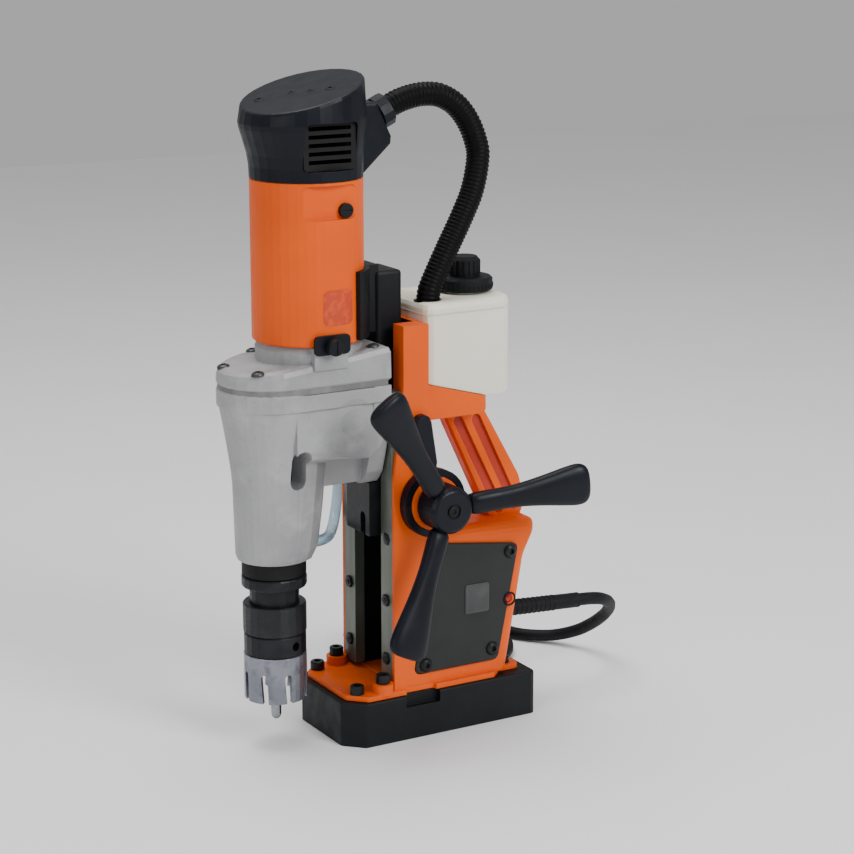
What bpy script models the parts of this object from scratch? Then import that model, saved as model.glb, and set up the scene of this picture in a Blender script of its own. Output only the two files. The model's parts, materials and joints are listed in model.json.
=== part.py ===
"""Magnetic drill press: an upright core drill that clamps itself to steel with an electromagnet foot.

Lengths in this file are millimetres and are turned into metres when a mesh is made. The frame has its
origin at the centre of the magnet foot's underside. -X is the front, where the cutter works, +X is the
rear, where the cord leaves, -Y is the side with the feed levers and +Z is up.
"""

import math

import bmesh
import bpy
from mathutils import Matrix, Vector

MM = 0.001
GAP = 0.3  # clearance between neighbouring pieces

# Driving dimensions -------------------------------------------------------------------------------
FOOT_LENGTH = 195.0
FOOT_WIDTH = 110.0
FOOT_HEIGHT = 41.0
FLANGE_TOP = 46.0
COLUMN_HALF = 48.0
COLUMN_TOP = 376.0
COLUMN_FRONT = -38.3
COLUMN_REAR = -13.0
RAIL_FRONT = -48.3
CHANNEL_BACK = -18.2
CHANNEL_HALF = 30.0
GIB_INNER = 24.5
GIB_OUTER = 44.0
GIB_TOP = 318.0
SPINDLE_X = -142.5
MOTOR_X = -105.9
MOTOR_RADIUS = 48.8
FEED_X = -12.0
FEED_Z = 217.0
CASE_HALF = 46.0
GRIP_LEVELS = (-24.0, -4.0)
TANK_HALF = 44.0
TANK_TOP = 392.0

# Gear train: teeth and module, the layshaft placed where both meshes close
PINION_TEETH, LAY_BIG_TEETH, MODULE_1 = 10, 26, 1.25
LAY_SMALL_TEETH, SPINDLE_TEETH, MODULE_2 = 12, 24, 1.5
STAGE_1 = MODULE_1 * (PINION_TEETH + LAY_BIG_TEETH) / 2
STAGE_2 = MODULE_2 * (LAY_SMALL_TEETH + SPINDLE_TEETH) / 2
SHAFT_SPACING = MOTOR_X - SPINDLE_X
LAY_BACK = (STAGE_1**2 - STAGE_2**2 + SHAFT_SPACING**2) / (2 * SHAFT_SPACING)
LAY_X = MOTOR_X - LAY_BACK
LAY_Y = math.sqrt(STAGE_1**2 - LAY_BACK**2)

# Feed: a rack on the slide and a pinion on the lever shaft
FEED_TEETH, FEED_MODULE = 14, 1.5
FEED_PITCH_RADIUS = FEED_TEETH * FEED_MODULE / 2
RACK_PITCH_X = FEED_X - FEED_PITCH_RADIUS
RACK_TOOTH = math.pi * FEED_MODULE

COLOURS = {
    "black_paint": ((0.02, 0.022, 0.026), 0.45, 0.3),
    "orange_paint": ((0.85, 0.19, 0.01), 0.4, 0.0),
    "grey_alloy": ((0.5, 0.51, 0.52), 0.42, 0.6),
    "dark_plastic": ((0.045, 0.05, 0.058), 0.5, 0.0),
    "panel_grey": ((0.09, 0.1, 0.105), 0.5, 0.0),
    "gib_steel": ((0.2, 0.23, 0.2), 0.4, 0.8),
    "steel": ((0.45, 0.46, 0.48), 0.3, 1.0),
    "black_steel": ((0.03, 0.032, 0.036), 0.35, 0.8),
    "bronze": ((0.55, 0.36, 0.14), 0.4, 0.9),
    "resin": ((0.32, 0.25, 0.12), 0.5, 0.0),
    "tank_white": ((0.8, 0.78, 0.68), 0.35, 0.0),
    "rubber": ((0.015, 0.015, 0.017), 0.7, 0.0),
    "hose_blue": ((0.55, 0.72, 0.82), 0.2, 0.0),
    "board_green": ((0.03, 0.2, 0.08), 0.5, 0.0),
    "red_plastic": ((0.6, 0.02, 0.01), 0.35, 0.0),
    "green_plastic": ((0.03, 0.35, 0.06), 0.35, 0.0),
}


# Making and placing -------------------------------------------------------------------------------
def clear_scene():
    for obj in list(bpy.data.objects):
        bpy.data.objects.remove(obj, do_unlink=True)


def material(name):
    """A fresh Principled material in one of COLOURS."""
    colour, roughness, metallic = COLOURS[name]
    made = bpy.data.materials.new(name)
    made.use_nodes = True
    shader = made.node_tree.nodes["Principled BSDF"]
    shader.inputs["Base Color"].default_value = (*colour, 1.0)
    shader.inputs["Roughness"].default_value = roughness
    shader.inputs["Metallic"].default_value = metallic
    return made


def body_empty(name, at=(0, 0, 0)):
    """An empty on a moving body's joint axis, which the body's pieces hang from."""
    empty = bpy.data.objects.new(name, None)
    bpy.context.scene.collection.objects.link(empty)
    empty.location = Vector(at) * MM
    return empty


def piece(name, bm, colour, body, smooth=True):
    """Turns a bmesh in frame millimetres into an object under its body's empty."""
    bmesh.ops.recalc_face_normals(bm, faces=bm.faces)
    offset = Vector(body.location) if body else Vector((0, 0, 0))
    for vert in bm.verts:
        vert.co = vert.co * MM - offset
    mesh = bpy.data.meshes.new(name)
    bm.to_mesh(mesh)
    bm.free()
    obj = bpy.data.objects.new(name, mesh)
    bpy.context.scene.collection.objects.link(obj)
    obj.data.materials.append(material(colour))
    obj.parent = body
    if smooth:
        mesh.shade_smooth()
        mesh.set_sharp_from_angle(angle=math.radians(35))
    return obj


def combine(target, bm, operation):
    """A Boolean on target by a helper shape that isn't rendered."""
    helper = piece(f"{target.name}_helper", bm, "steel", target.parent, smooth=False)
    helper.hide_render = True
    helper.display_type = "WIRE"
    modifier = target.modifiers.new(operation.lower(), "BOOLEAN")
    modifier.operation = operation
    modifier.object = helper
    modifier.solver = "EXACT"
    return helper


def cut(target, bm):
    return combine(target, bm, "DIFFERENCE")


def join(target, bm):
    return combine(target, bm, "UNION")


# Outlines and solids ------------------------------------------------------------------------------
def rounded(corners, steps=3):
    """An outline of (a, b, radius) corners, each radius turned into an arc."""
    points = []
    count = len(corners)
    for index, (a, b, radius) in enumerate(corners):
        here = Vector((a, b))
        if radius <= 0:
            points.append(here)
            continue
        before = (Vector(corners[index - 1][:2]) - here).normalized()
        after = (Vector(corners[(index + 1) % count][:2]) - here).normalized()
        half = before.angle(after) / 2
        centre = here + (before + after).normalized() * (radius / math.sin(half))
        reach = radius / math.tan(half)
        start = here + before * reach - centre
        end = here + after * reach - centre
        turn = start.angle_signed(end)
        for step in range(steps + 1):
            points.append(centre + Matrix.Rotation(-turn * step / steps, 2) @ start)
    return points


def rectangle(low, high, radius=0.0, steps=3):
    (x0, y0), (x1, y1) = low, high
    return rounded([(x0, y0, radius), (x1, y0, radius), (x1, y1, radius), (x0, y1, radius)], steps)


def capsule(start, end, radius, steps=6):
    """A slot outline: two half circles about start and end."""
    start, end = Vector(start), Vector(end)
    heading = math.atan2(*(end - start).yx)
    points = []
    for centre, turn in ((end, heading), (start, heading + math.pi)):
        for step in range(steps + 1):
            angle = turn - math.pi / 2 + math.pi * step / steps
            points.append(centre + Vector((math.cos(angle), math.sin(angle))) * radius)
    return points


def set_up(point, level, axis):
    """A 2-D outline point at a level along axis: Z takes (x, y), Y takes (x, z) and X takes (y, z)."""
    a, b = point[0], point[1]
    return {"Z": (a, b, level), "Y": (a, level, b), "X": (level, a, b)}[axis]


def prism(outline, low, high, axis="Z"):
    """An outline extruded from low to high along axis."""
    bm = bmesh.new()
    base = bm.faces.new([bm.verts.new(set_up(p, low, axis)) for p in outline])
    grown = bmesh.ops.extrude_face_region(bm, geom=[base])["geom"]
    shift = Vector(set_up((0, 0), high - low, axis))
    bmesh.ops.translate(bm, verts=[v for v in grown if isinstance(v, bmesh.types.BMVert)], vec=shift)
    return bm


def loft(rings, closed=False):
    """Skins a list of rings with equal point counts; closed joins the last ring to the first."""
    bm = bmesh.new()
    made = [[bm.verts.new(p) for p in ring] for ring in rings]
    pairs = list(zip(made, made[1:]))
    if closed:
        pairs.append((made[-1], made[0]))
    for lower, upper in pairs:
        for i in range(len(lower)):
            j = (i + 1) % len(lower)
            bm.faces.new((lower[i], lower[j], upper[j], upper[i]))
    if not closed:
        bm.faces.new(made[0])
        bm.faces.new(made[-1])
    return bm


def frame_ring(outer, inner, low, high):
    """A closed band between two outlines of equal point counts, from low to high."""
    levels = ((outer, low), (outer, high), (inner, high), (inner, low))
    return loft([[set_up(p, level, "Z") for p in outline] for outline, level in levels], closed=True)


def circle(radius, sides, centre=(0, 0), phase=0.0):
    return [
        (
            centre[0] + radius * math.cos(phase + 2 * math.pi * k / sides),
            centre[1] + radius * math.sin(phase + 2 * math.pi * k / sides),
        )
        for k in range(sides)
    ]


def turned(profile, sides, centre=(0, 0), axis="Z"):
    """A solid of revolution from (radius, level) points. A closed profile, whose last point is its
    first, leaves a bore. centre is in the plane across axis."""
    hollow = profile[0] == profile[-1]
    stations = profile[:-1] if hollow else profile
    rings = [[set_up(p, z, axis) for p in circle(r, sides, centre)] for r, z in stations]
    return loft(rings, closed=hollow)


def rod(radius, low, high, centre, axis="Z", sides=24):
    return prism(circle(radius, sides, centre), low, high, axis)


def block(low, high):
    return prism(rectangle(low[:2], high[:2]), low[2], high[2])


def bevel(bm, chosen, width, segments=2):
    """Bevels the edges that chosen(edge) picks, in millimetres."""
    edges = [edge for edge in bm.edges if chosen(edge)]
    bmesh.ops.bevel(bm, geom=edges, offset=width, segments=segments, affect="EDGES", profile=0.5)
    return bm


def along(axis):
    """Picks the edges parallel to a direction."""
    wanted = Vector(axis).normalized()

    def test(edge):
        span = edge.verts[1].co - edge.verts[0].co
        return span.length > 1.0 and abs(span.normalized().dot(wanted)) > 0.999

    return test


def turn_to(bm, direction, at):
    """Turns a shape made along +Z to direction and moves its origin to at."""
    facing = Vector((0, 0, 1)).rotation_difference(Vector(direction).normalized())
    bmesh.ops.transform(bm, matrix=Matrix.Translation(at) @ facing.to_matrix().to_4x4(), verts=bm.verts)
    return bm


def gear_outline(teeth, module, centre, phase):
    """A spur gear's outline with a tooth at phase. Teeth are slim, so that meshes keep backlash."""
    pitch = 2 * math.pi / teeth
    stations = ((-0.27, -1.2), (-0.11, 0.85), (0.11, 0.85), (0.27, -1.2))
    points = []
    for tooth in range(teeth):
        for turn, height in stations:
            radius = teeth * module / 2 + height * module
            angle = phase + (tooth + turn) * pitch
            points.append((centre[0] + radius * math.cos(angle), centre[1] + radius * math.sin(angle)))
    return points


def gear_phase(teeth, towards, gap):
    """The phase that points a tooth, or with gap a tooth space, towards an angle."""
    return towards - (math.pi / teeth if gap else 0.0)


def smooth_route(points, spacing):
    """Points every spacing along a Catmull-Rom curve through points."""
    guide = [Vector(p) for p in points]
    guide = [2 * guide[0] - guide[1], *guide, 2 * guide[-1] - guide[-2]]
    fine = []
    for a, b, c, d in zip(guide, guide[1:], guide[2:], guide[3:]):
        for step in range(40):
            t = step / 40
            fine.append(
                0.5
                * (
                    2 * b
                    + (c - a) * t
                    + (2 * a - 5 * b + 4 * c - d) * t**2
                    + (3 * b - a - 3 * c + d) * t**3
                )
            )
    fine.append(guide[-2])
    total = sum((q - p).length for p, q in zip(fine, fine[1:]))
    count = max(4, round(total / spacing))
    route, walked, wanted = [fine[0]], 0.0, total / count
    for p, q in zip(fine, fine[1:]):
        walked += (q - p).length
        if walked >= wanted - 1e-6 and len(route) < count:
            route.append(q)
            wanted += total / count
    route.append(fine[-1])
    return route


def hose(name, route, diameter, colour, resolution=2):
    """A round tube on a poly spline."""
    curve = bpy.data.curves.new(name, "CURVE")
    curve.dimensions = "3D"
    curve.bevel_depth = diameter / 2 * MM
    curve.bevel_resolution = resolution
    curve.use_fill_caps = True
    spline = curve.splines.new("POLY")
    spline.points.add(len(route) - 1)
    for point, place in zip(spline.points, route):
        point.co = (*(Vector(place) * MM), 1.0)
    obj = bpy.data.objects.new(name, curve)
    bpy.context.scene.collection.objects.link(obj)
    curve.materials.append(material(colour))
    return obj


# Magnet foot --------------------------------------------------------------------------------------
GROOVE_OUTER = (75.0, 39.0)
GROOVE_INNER = (52.0, 17.0)
GROOVE_TOP = 27.0
COIL_LEVELS = (0.4, 26.7)
FOOT_CHAMFER = 16.7
STRAP_SLOT = (-40.0, -5.0)  # where a safety strap passes over the foot's right edge
FRONT_BOLTS = (-81.0, 38.0)
COLUMN_BOLTS = (-58.0, 44.0)
COLUMN_BOSS_TOP = 54.0


def groove_outline(half, inset=0.0):
    return rectangle((-half[0] + inset, -half[1] + inset), (half[0] - inset, half[1] - inset), 5.0, 2)


def make_foot(stand):
    half_x, half_y = FOOT_LENGTH / 2, FOOT_WIDTH / 2
    outline = rounded(
        [
            (-half_x, -half_y + FOOT_CHAMFER, 4),
            (-half_x + FOOT_CHAMFER, -half_y, 4),
            (half_x, -half_y, 5),
            (half_x, half_y, 5),
            (-half_x + FOOT_CHAMFER, half_y, 4),
            (-half_x, half_y - FOOT_CHAMFER, 4),
        ],
        2,
    )
    bm = prism(outline, 0, FOOT_HEIGHT)
    bevel(bm, lambda e: all(v.co.z > FOOT_HEIGHT - 0.1 for v in e.verts), 1.5, 2)
    foot = piece("magnet_foot", bm, "black_paint", stand)
    cut(foot, frame_ring(groove_outline(GROOVE_OUTER), groove_outline(GROOVE_INNER), -1, GROOVE_TOP))
    cut(foot, block((STRAP_SLOT[0], -half_y - 2, 30), (STRAP_SLOT[1], -half_y + 6, FOOT_HEIGHT + 1)))
    for x, y in (*mirrored(FRONT_BOLTS), *mirrored(COLUMN_BOLTS)):
        cut(foot, rod(4.3, 28.5, FOOT_HEIGHT + 1, (x, y), sides=12))
    outer = groove_outline(GROOVE_OUTER, GAP)
    inner = groove_outline(GROOVE_INNER, -GAP)
    piece("magnet_coil", frame_ring(outer, inner, *COIL_LEVELS), "resin", stand)


def mirrored(place):
    """A place on the right side and its twin on the left."""
    x, y = place
    return (x, -y), (x, y)


def make_foot_bolts(stand):
    """Four cap screws hold the casting down on the foot."""
    places = (
        ("front", FRONT_BOLTS, FLANGE_TOP),
        ("column", COLUMN_BOLTS, COLUMN_BOSS_TOP),
    )
    for row, place, seat in places:
        for side, (x, y) in zip(("right", "left"), mirrored(place)):
            head = turned(
                [(4.0, 29), (4.0, seat + GAP), (6.5, seat + GAP), (6.5, seat + 7), (5.9, seat + 8)],
                12,
                (x, y),
            )
            bolt = piece(f"foot_bolt_{row}_{side}", head, "black_steel", stand)
            cut(bolt, rod(3.4, seat + 4, seat + 9, (x, y), sides=6))


# Stand casting ------------------------------------------------------------------------------------
CASE_FLOOR = 44.0
CASE_TOP = 188.0
CASE_ROUNDING = 10.5
SHELF_BOTTOM = 289.0
SHELF_REAR = 52.0
BOSS_RADIUS = 24.0
BOSS_FACE = 60.0
BUSH_RADIUS = 11.5
CASE_WINDOW = [(2, 168, 5), (74, 156, 5), (55, 66, 5), (-18, 66, 5)]
GRIP_SLOTS = (((31.5, 280), (75.5, 192)), ((50.5, 279), (92, 194)))


def make_casting(stand):
    flange = rounded(
        [
            (-92, -36.5, 4),
            (-76.5, -52, 4),
            (54, -52, 3),
            (66, -41, 3),
            (88, -41, 5),
            (88, 41, 5),
            (66, 41, 3),
            (54, 52, 3),
            (-76.5, 52, 4),
            (-92, 36.5, 4),
        ],
        2,
    )
    base = prism(flange, FOOT_HEIGHT + GAP, FLANGE_TOP)
    casting = piece("stand_casting", base, "orange_paint", stand)
    join(casting, column_shape())
    for side in (-1, 1):
        join(casting, cheek_shape(side))
    join(casting, case_shape())
    join(casting, shelf_shape())
    join(casting, grip_shape())
    join(casting, rod(BOSS_RADIUS, -BOSS_FACE, -COLUMN_HALF + 4, (FEED_X, FEED_Z), "Y", 40))
    join(casting, rod(BUSH_RADIUS + 6, -COLUMN_HALF + 3, COLUMN_HALF, (FEED_X, FEED_Z), "Y", 24))
    for x, y in mirrored(COLUMN_BOLTS):
        join(casting, rod(9.5, FLANGE_TOP - 2, COLUMN_BOSS_TOP, (x, y), sides=20))
    cut_casting(casting)


def column_shape():
    outline = rectangle((COLUMN_FRONT, -COLUMN_HALF), (COLUMN_REAR, COLUMN_HALF))
    return prism(outline, CASE_FLOOR, COLUMN_TOP)


def cheek_shape(side):
    """The lip beside a gib, cut back above the feed shaft."""
    outline = [(RAIL_FRONT, CASE_FLOOR), (-30, CASE_FLOOR), (-30, 330), (COLUMN_FRONT, 322), (RAIL_FRONT, 238)]
    inner, outer = sorted((side * (GIB_OUTER + GAP), side * COLUMN_HALF))
    return prism(outline, inner, outer, "Y")


def case_shape():
    """The rear housing for the electrics, with a sloping back and edges rounded by a quarter circle."""
    rings = []
    for side in (-1, 1):
        for quarter in (0, 1, 2, 3, 4) if side < 0 else (4, 3, 2, 1, 0):
            angle = math.pi / 2 * quarter / 4
            inset = CASE_ROUNDING * (1 - math.sin(angle))
            y = side * (CASE_HALF - CASE_ROUNDING * (1 - math.cos(angle)))
            outline = rounded(
                [
                    (-20, CASE_FLOOR, 0),
                    (73.5 - inset, CASE_FLOOR, 0),
                    (92.6 - inset, 153 - inset / 2, 30),
                    (103 - inset, 175 - inset, 12),
                    (103.5 - inset, 184 - inset, 5),
                    (-20, CASE_TOP - inset, 0),
                ],
                2,
            )
            rings.append([(x, y, z) for x, z in outline])
    return loft(rings)


def shelf_shape():
    """The tank's shelf, whose top slopes down to the rear."""
    outline = [(-20, 323.5), (SHELF_REAR, 303.5), (SHELF_REAR, 296), (46, SHELF_BOTTOM), (-20, SHELF_BOTTOM)]
    bm = prism(outline, -TANK_HALF, TANK_HALF, "Y")
    return bevel(bm, lambda e: all(abs(v.co.x - SHELF_REAR) < 0.1 for v in e.verts) and along((0, 0, 1))(e), 9.0, 3)


def grip_shape():
    """The carrying handle from the shelf down to the housing."""
    outline = rounded(
        [(15, 292, 0), (64.5, 188, 10), (68, 179, 0), (99, 179, 0), (103, 195, 10), (96.5, 221, 60), (58, 292, 0)], 3
    )
    bm = prism(outline, *GRIP_LEVELS, "Y")
    long_edges = lambda e: abs(e.verts[0].co.y - e.verts[1].co.y) < 0.01 and abs(
        e.verts[0].co.z - e.verts[1].co.z
    ) > 5
    return bevel(bm, long_edges, 5.0, 2)


def cut_casting(casting):
    """Everything that is taken out of the casting."""
    channel = (COLUMN_FRONT - 15, -CHANNEL_HALF, FLANGE_TOP + 0.5), (CHANNEL_BACK, CHANNEL_HALF, COLUMN_TOP + 1)
    cut(casting, block(*channel))
    case_inside = rounded([(-9, 50, 3), (61, 50, 3), (73, 150, 6), (78, 166, 4), (78, 174, 3), (-9, 174, 3)], 2)
    cut(casting, prism(case_inside, -CASE_HALF + 5, CASE_HALF - 5, "Y"))
    cut(casting, prism(rounded(PANEL_SEAT, 3), -CASE_HALF - 10, -CASE_HALF + 0.1, "Y"))
    cut(casting, prism(rounded(CASE_WINDOW, 2), -CASE_HALF - 1, -CASE_HALF + 8, "Y"))
    cut(casting, prism(rectangle(CONTROL_WINDOW[0], CONTROL_WINDOW[1], 3, 2), CASE_HALF - 8, CASE_HALF + 1, "Y"))
    cut(casting, rod(BUSH_RADIUS + GAP, -BOSS_FACE - 1, COLUMN_HALF + 1, (FEED_X, FEED_Z), "Y", 24))
    cut(casting, rod(13.5, -15, 15, (FEED_X, FEED_Z), "Y", 24))
    for start, end in GRIP_SLOTS:
        for levels in ((GRIP_LEVELS[0] - 2, GRIP_LEVELS[0] + 3.2), (GRIP_LEVELS[1] - 3.2, GRIP_LEVELS[1] + 2)):
            cut(casting, prism(capsule(start, end, 4.8, 4), *levels, "Y"))
    cut(casting, prism(rounded([(STRAP_SLOT[0], -60, 0), (STRAP_SLOT[1], -60, 0), (STRAP_SLOT[1] - 3, -47.5, 2), (STRAP_SLOT[0] + 3, -47.5, 2)], 2), 40, FLANGE_TOP + 1))
    for x, y in mirrored(FRONT_BOLTS):
        cut(casting, rod(4.5, FOOT_HEIGHT - 1, FLANGE_TOP + 1, (x, y), sides=12))
    for x, y in mirrored(COLUMN_BOLTS):
        cut(casting, rod(4.5, FOOT_HEIGHT - 1, COLUMN_BOSS_TOP + 1, (x, y), sides=12))
    cut(casting, rod(CORD_HOLE, CORD_EXIT[0] - 20, CORD_EXIT[0] + 20, CORD_EXIT[1:], "X", 16))
    cut(casting, rod(13.0, CORD_EXIT[0], CORD_EXIT[0] + 20, CORD_EXIT[1:], "X", 24))
    cut(casting, rod(CONDUIT_HOLE, SHELF_BOTTOM - 5, COLUMN_TOP, CONDUIT_FOOT[:2], sides=16))
    cut(casting, rod(LAMP_RADIUS + GAP, -CASE_HALF - 1, -CASE_HALF + 6, LAMP_AT, "Y", 16))


# Gibs and slide -----------------------------------------------------------------------------------
SLIDE_BOTTOM = 184.0
SLIDE_TOP = 352.0
SLIDE_NOSE = -58.0
SLIDE_HALF = 20.7
STOP_TOP = 421.0
SADDLE_LEVELS = (368.0, 427.0)
RACK_HALF = 9.0
RACK_LEVELS = (186.0, 332.0)


def make_gibs(stand):
    """Two steel strips that keep the slide in the channel."""
    for name, side in (("gib_right", -1), ("gib_left", 1)):
        inner, outer = sorted((side * GIB_INNER, side * GIB_OUTER))
        strip = prism(rectangle((RAIL_FRONT, inner), (COLUMN_FRONT - GAP, outer)), FLANGE_TOP + 4, GIB_TOP)
        piece(name, strip, "gib_steel", stand)


def make_slide(carriage):
    """The T-shaped slide, with the rack let into its back and a stop block on top."""
    outline = [
        (SLIDE_NOSE, -SLIDE_HALF),
        (COLUMN_FRONT + GAP, -SLIDE_HALF),
        (COLUMN_FRONT + GAP, -CHANNEL_HALF + GAP),
        (CHANNEL_BACK - GAP - 4.5, -CHANNEL_HALF + GAP),
        (CHANNEL_BACK - GAP - 4.5, CHANNEL_HALF - GAP),
        (COLUMN_FRONT + GAP, CHANNEL_HALF - GAP),
        (COLUMN_FRONT + GAP, SLIDE_HALF),
        (SLIDE_NOSE, SLIDE_HALF),
    ]
    slide = piece("carriage_slide", prism(outline, SLIDE_BOTTOM, SLIDE_TOP), "black_steel", carriage)
    pocket_x = RACK_PITCH_X - FEED_MODULE * 1.3 - 4.0
    cut(slide, block((pocket_x, -RACK_HALF - GAP, SLIDE_BOTTOM - 1), (-10, RACK_HALF + GAP, SLIDE_TOP + 1)))
    cut(slide, block((SLIDE_NOSE - 2, -40, 232.6), (-50 + GAP, 40, SLIDE_TOP + 1)))
    cut(slide, prism(capsule((-9, 170), (-9, 200), 4.5, 6), -70, SLIDE_NOSE + 12, "X"))
    rack = prism(rack_outline(pocket_x + GAP), -RACK_HALF, RACK_HALF, "Y")
    piece("feed_rack", rack, "steel", carriage)
    top = rectangle((-49.6, -SLIDE_HALF), (-23.5, SLIDE_HALF), 4.0, 3)
    cap = prism(top, SLIDE_TOP + GAP, STOP_TOP)
    bevel(cap, lambda e: all(v.co.z > STOP_TOP - 1 for v in e.verts), 3.0, 2)
    stop = piece("slide_stop_block", cap, "black_paint", carriage)
    join(stop, saddle_shape())


def saddle_shape():
    """A band around the back of the motor with a neck that reaches the stop block."""
    inner, outer = MOTOR_RADIUS + 0.4, MOTOR_RADIUS + 4.7
    neck = math.asin(18.0 / outer)
    turns = [math.radians(-60 + 120 * k / 16) for k in range(17)]
    arc = lambda radius, turn: (MOTOR_X + radius * math.cos(turn), radius * math.sin(turn))
    outline = [arc(inner, turn) for turn in reversed(turns)]
    outline += [arc(outer, turn) for turn in turns if turn < -neck]
    outline += [arc(outer, -neck), (-46.0, -18.0), (-46.0, 18.0), arc(outer, neck)]
    outline += [arc(outer, turn) for turn in turns if turn > neck]
    return prism(outline, *SADDLE_LEVELS)


def rack_outline(back):
    """A rack in XZ with a tooth space level with the feed shaft at rest."""
    low, high = RACK_LEVELS
    points = [(back, low), (back, high)]
    tip = RACK_PITCH_X + 0.85 * FEED_MODULE
    root = RACK_PITCH_X - 1.2 * FEED_MODULE
    points.append((root, high))
    tooth = math.floor((high - FEED_Z) / RACK_TOOTH - 0.5)
    while FEED_Z + (tooth + 0.1) * RACK_TOOTH > low:
        centre = FEED_Z + (tooth + 0.5) * RACK_TOOTH
        points.append((root, centre + 0.3 * RACK_TOOTH))
        points.append((tip, centre + 0.1 * RACK_TOOTH))
        points.append((tip, centre - 0.1 * RACK_TOOTH))
        points.append((root, centre - 0.3 * RACK_TOOTH))
        tooth -= 1
    points.append((root, low))
    return points


# Feed levers --------------------------------------------------------------------------------------
HUB_RADIUS = 21.0
HUB_LEVELS = (-90.0, -62.5)
LEVER_ANGLES = (5.0, 125.0, 245.0)
LEVER_LENGTH = 133.0
LEVER_OFFSET = 28.0
SHAFT_RADIUS = 8.0


def make_feed(feed, stand):
    shaft_centre = (FEED_X, FEED_Z)
    phase = gear_phase(FEED_TEETH, math.pi, gap=False)
    shaft = piece("feed_shaft", rod(SHAFT_RADIUS, -61.5, 47.0, shaft_centre, "Y", 24), "steel", feed)
    join(shaft, prism(gear_outline(FEED_TEETH, FEED_MODULE, shaft_centre, phase), -8.5, 8.5, "Y"))
    join(shaft, rod(6.0, -74.0, -61.0, shaft_centre, "Y", 12))
    for name, levels in (("feed_bush_right", (-59.5, -31)), ("feed_bush_left", (31, 47.5))):
        bore = SHAFT_RADIUS + 0.12
        profile = [(BUSH_RADIUS, levels[0]), (BUSH_RADIUS, levels[1]), (bore, levels[1]), (bore, levels[0])]
        piece(name, turned([*profile, profile[0]], 24, shaft_centre, "Y"), "bronze", stand)
    profile = [(HUB_RADIUS, HUB_LEVELS[1]), (HUB_RADIUS, -86.0), (18.5, HUB_LEVELS[0] + 0.8), (17.0, HUB_LEVELS[0])]
    hub = piece("feed_hub", turned(profile, 28, shaft_centre, "Y"), "dark_plastic", feed)
    cut(hub, rod(6.0 + GAP, -74.4, -62.0, shaft_centre, "Y", 12))
    cut(hub, rod(7.0, -95, -88.5, shaft_centre, "Y", 20))
    for number, angle in enumerate(LEVER_ANGLES, 1):
        piece(f"feed_lever_{number}", lever_shape(angle), "dark_plastic", feed)


def lever_shape(angle):
    """A flared paddle: (distance, width, thickness) stations along the arm."""
    stations = (
        (HUB_RADIUS + 0.5, 21, 16),
        (34, 20, 15),
        (52, 19.5, 14),
        (74, 23, 14),
        (96, 30, 15),
        (114, 37, 16),
        (124, 39.5, 16),
        (129, 36, 14),
        (132, 28, 10),
        (LEVER_LENGTH, 17, 5),
    )
    turn = math.radians(angle)
    outward = Vector((math.cos(turn), 0, math.sin(turn)))
    across = Vector((-math.sin(turn), 0, math.cos(turn)))
    rings = []
    for distance, width, thickness in stations:
        lean = -(HUB_RADIUS * 0.0 + 77.0) - LEVER_OFFSET * distance / LEVER_LENGTH * 0.9
        centre = Vector((FEED_X, lean, FEED_Z)) + outward * distance
        ring = []
        for k in range(12):
            c, s = math.cos(2 * math.pi * k / 12), math.sin(2 * math.pi * k / 12)
            square = lambda v: math.copysign(abs(v) ** 0.8, v)
            ring.append(centre + across * (square(c) * width / 2) + Vector((0, square(s) * thickness / 2, 0)))
        rings.append(ring)
    return loft(rings)


LOCK_RING = (24.4, 31.0)
LOCK_LEVELS = (-58.0, -49.0)
LOCK_ANGLE = 99.0
LOCK_LENGTH = 82.0


def make_lock_lever(lock):
    """A clamp lever about the feed boss that holds the slide still."""
    centre = (FEED_X, FEED_Z)
    inner, outer = LOCK_RING
    low, high = LOCK_LEVELS
    profile = [(outer, low), (outer, high), (inner, high), (inner, low)]
    ring = piece("slide_lock_lever", turned([*profile, profile[0]], 32, centre, "Y"), "dark_plastic", lock)
    turn = math.radians(LOCK_ANGLE)
    reach = lambda distance: (FEED_X + distance * math.cos(turn), FEED_Z + distance * math.sin(turn))
    arm = prism(capsule(reach(36), reach(LOCK_LENGTH - 8.5), 8.5, 5), low, high, "Y")
    join(ring, bevel(arm, lambda e: abs(e.verts[0].co.y - e.verts[1].co.y) < 0.01, 1.5, 1))


# Rear housing: panel, controls, electrics ---------------------------------------------------------
PANEL = [(-7, 177, 6), (81.5, 164.5, 6), (60, 57, 6), (-28, 57, 6)]
PANEL_SEAT = [(-7.7, 177.8, 6), (82.2, 165.2, 6), (60.7, 56.3, 6), (-28.7, 56.3, 6)]
CONTROL_WINDOW = ((8, 72), (59, 152))
CONTROL_PLATE = ((2, 66), (65, 158))
BUTTONS = (("motor_on_button", "green_plastic", 22.0), ("motor_off_button", "red_plastic", 45.0))
BUTTON_Z = 132.0
BUTTON_RADIUS = 8.0
SWITCH_AT = (33.5, 94.0)
LAMP_AT = (71.5, 113.0)
LAMP_RADIUS = 4.5
CORD_EXIT = (80.0, -18.0, 92.8)
CORD_HEADING = (0.998, 0.0, -0.06)
CORD_HOLE = 9.8


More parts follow.
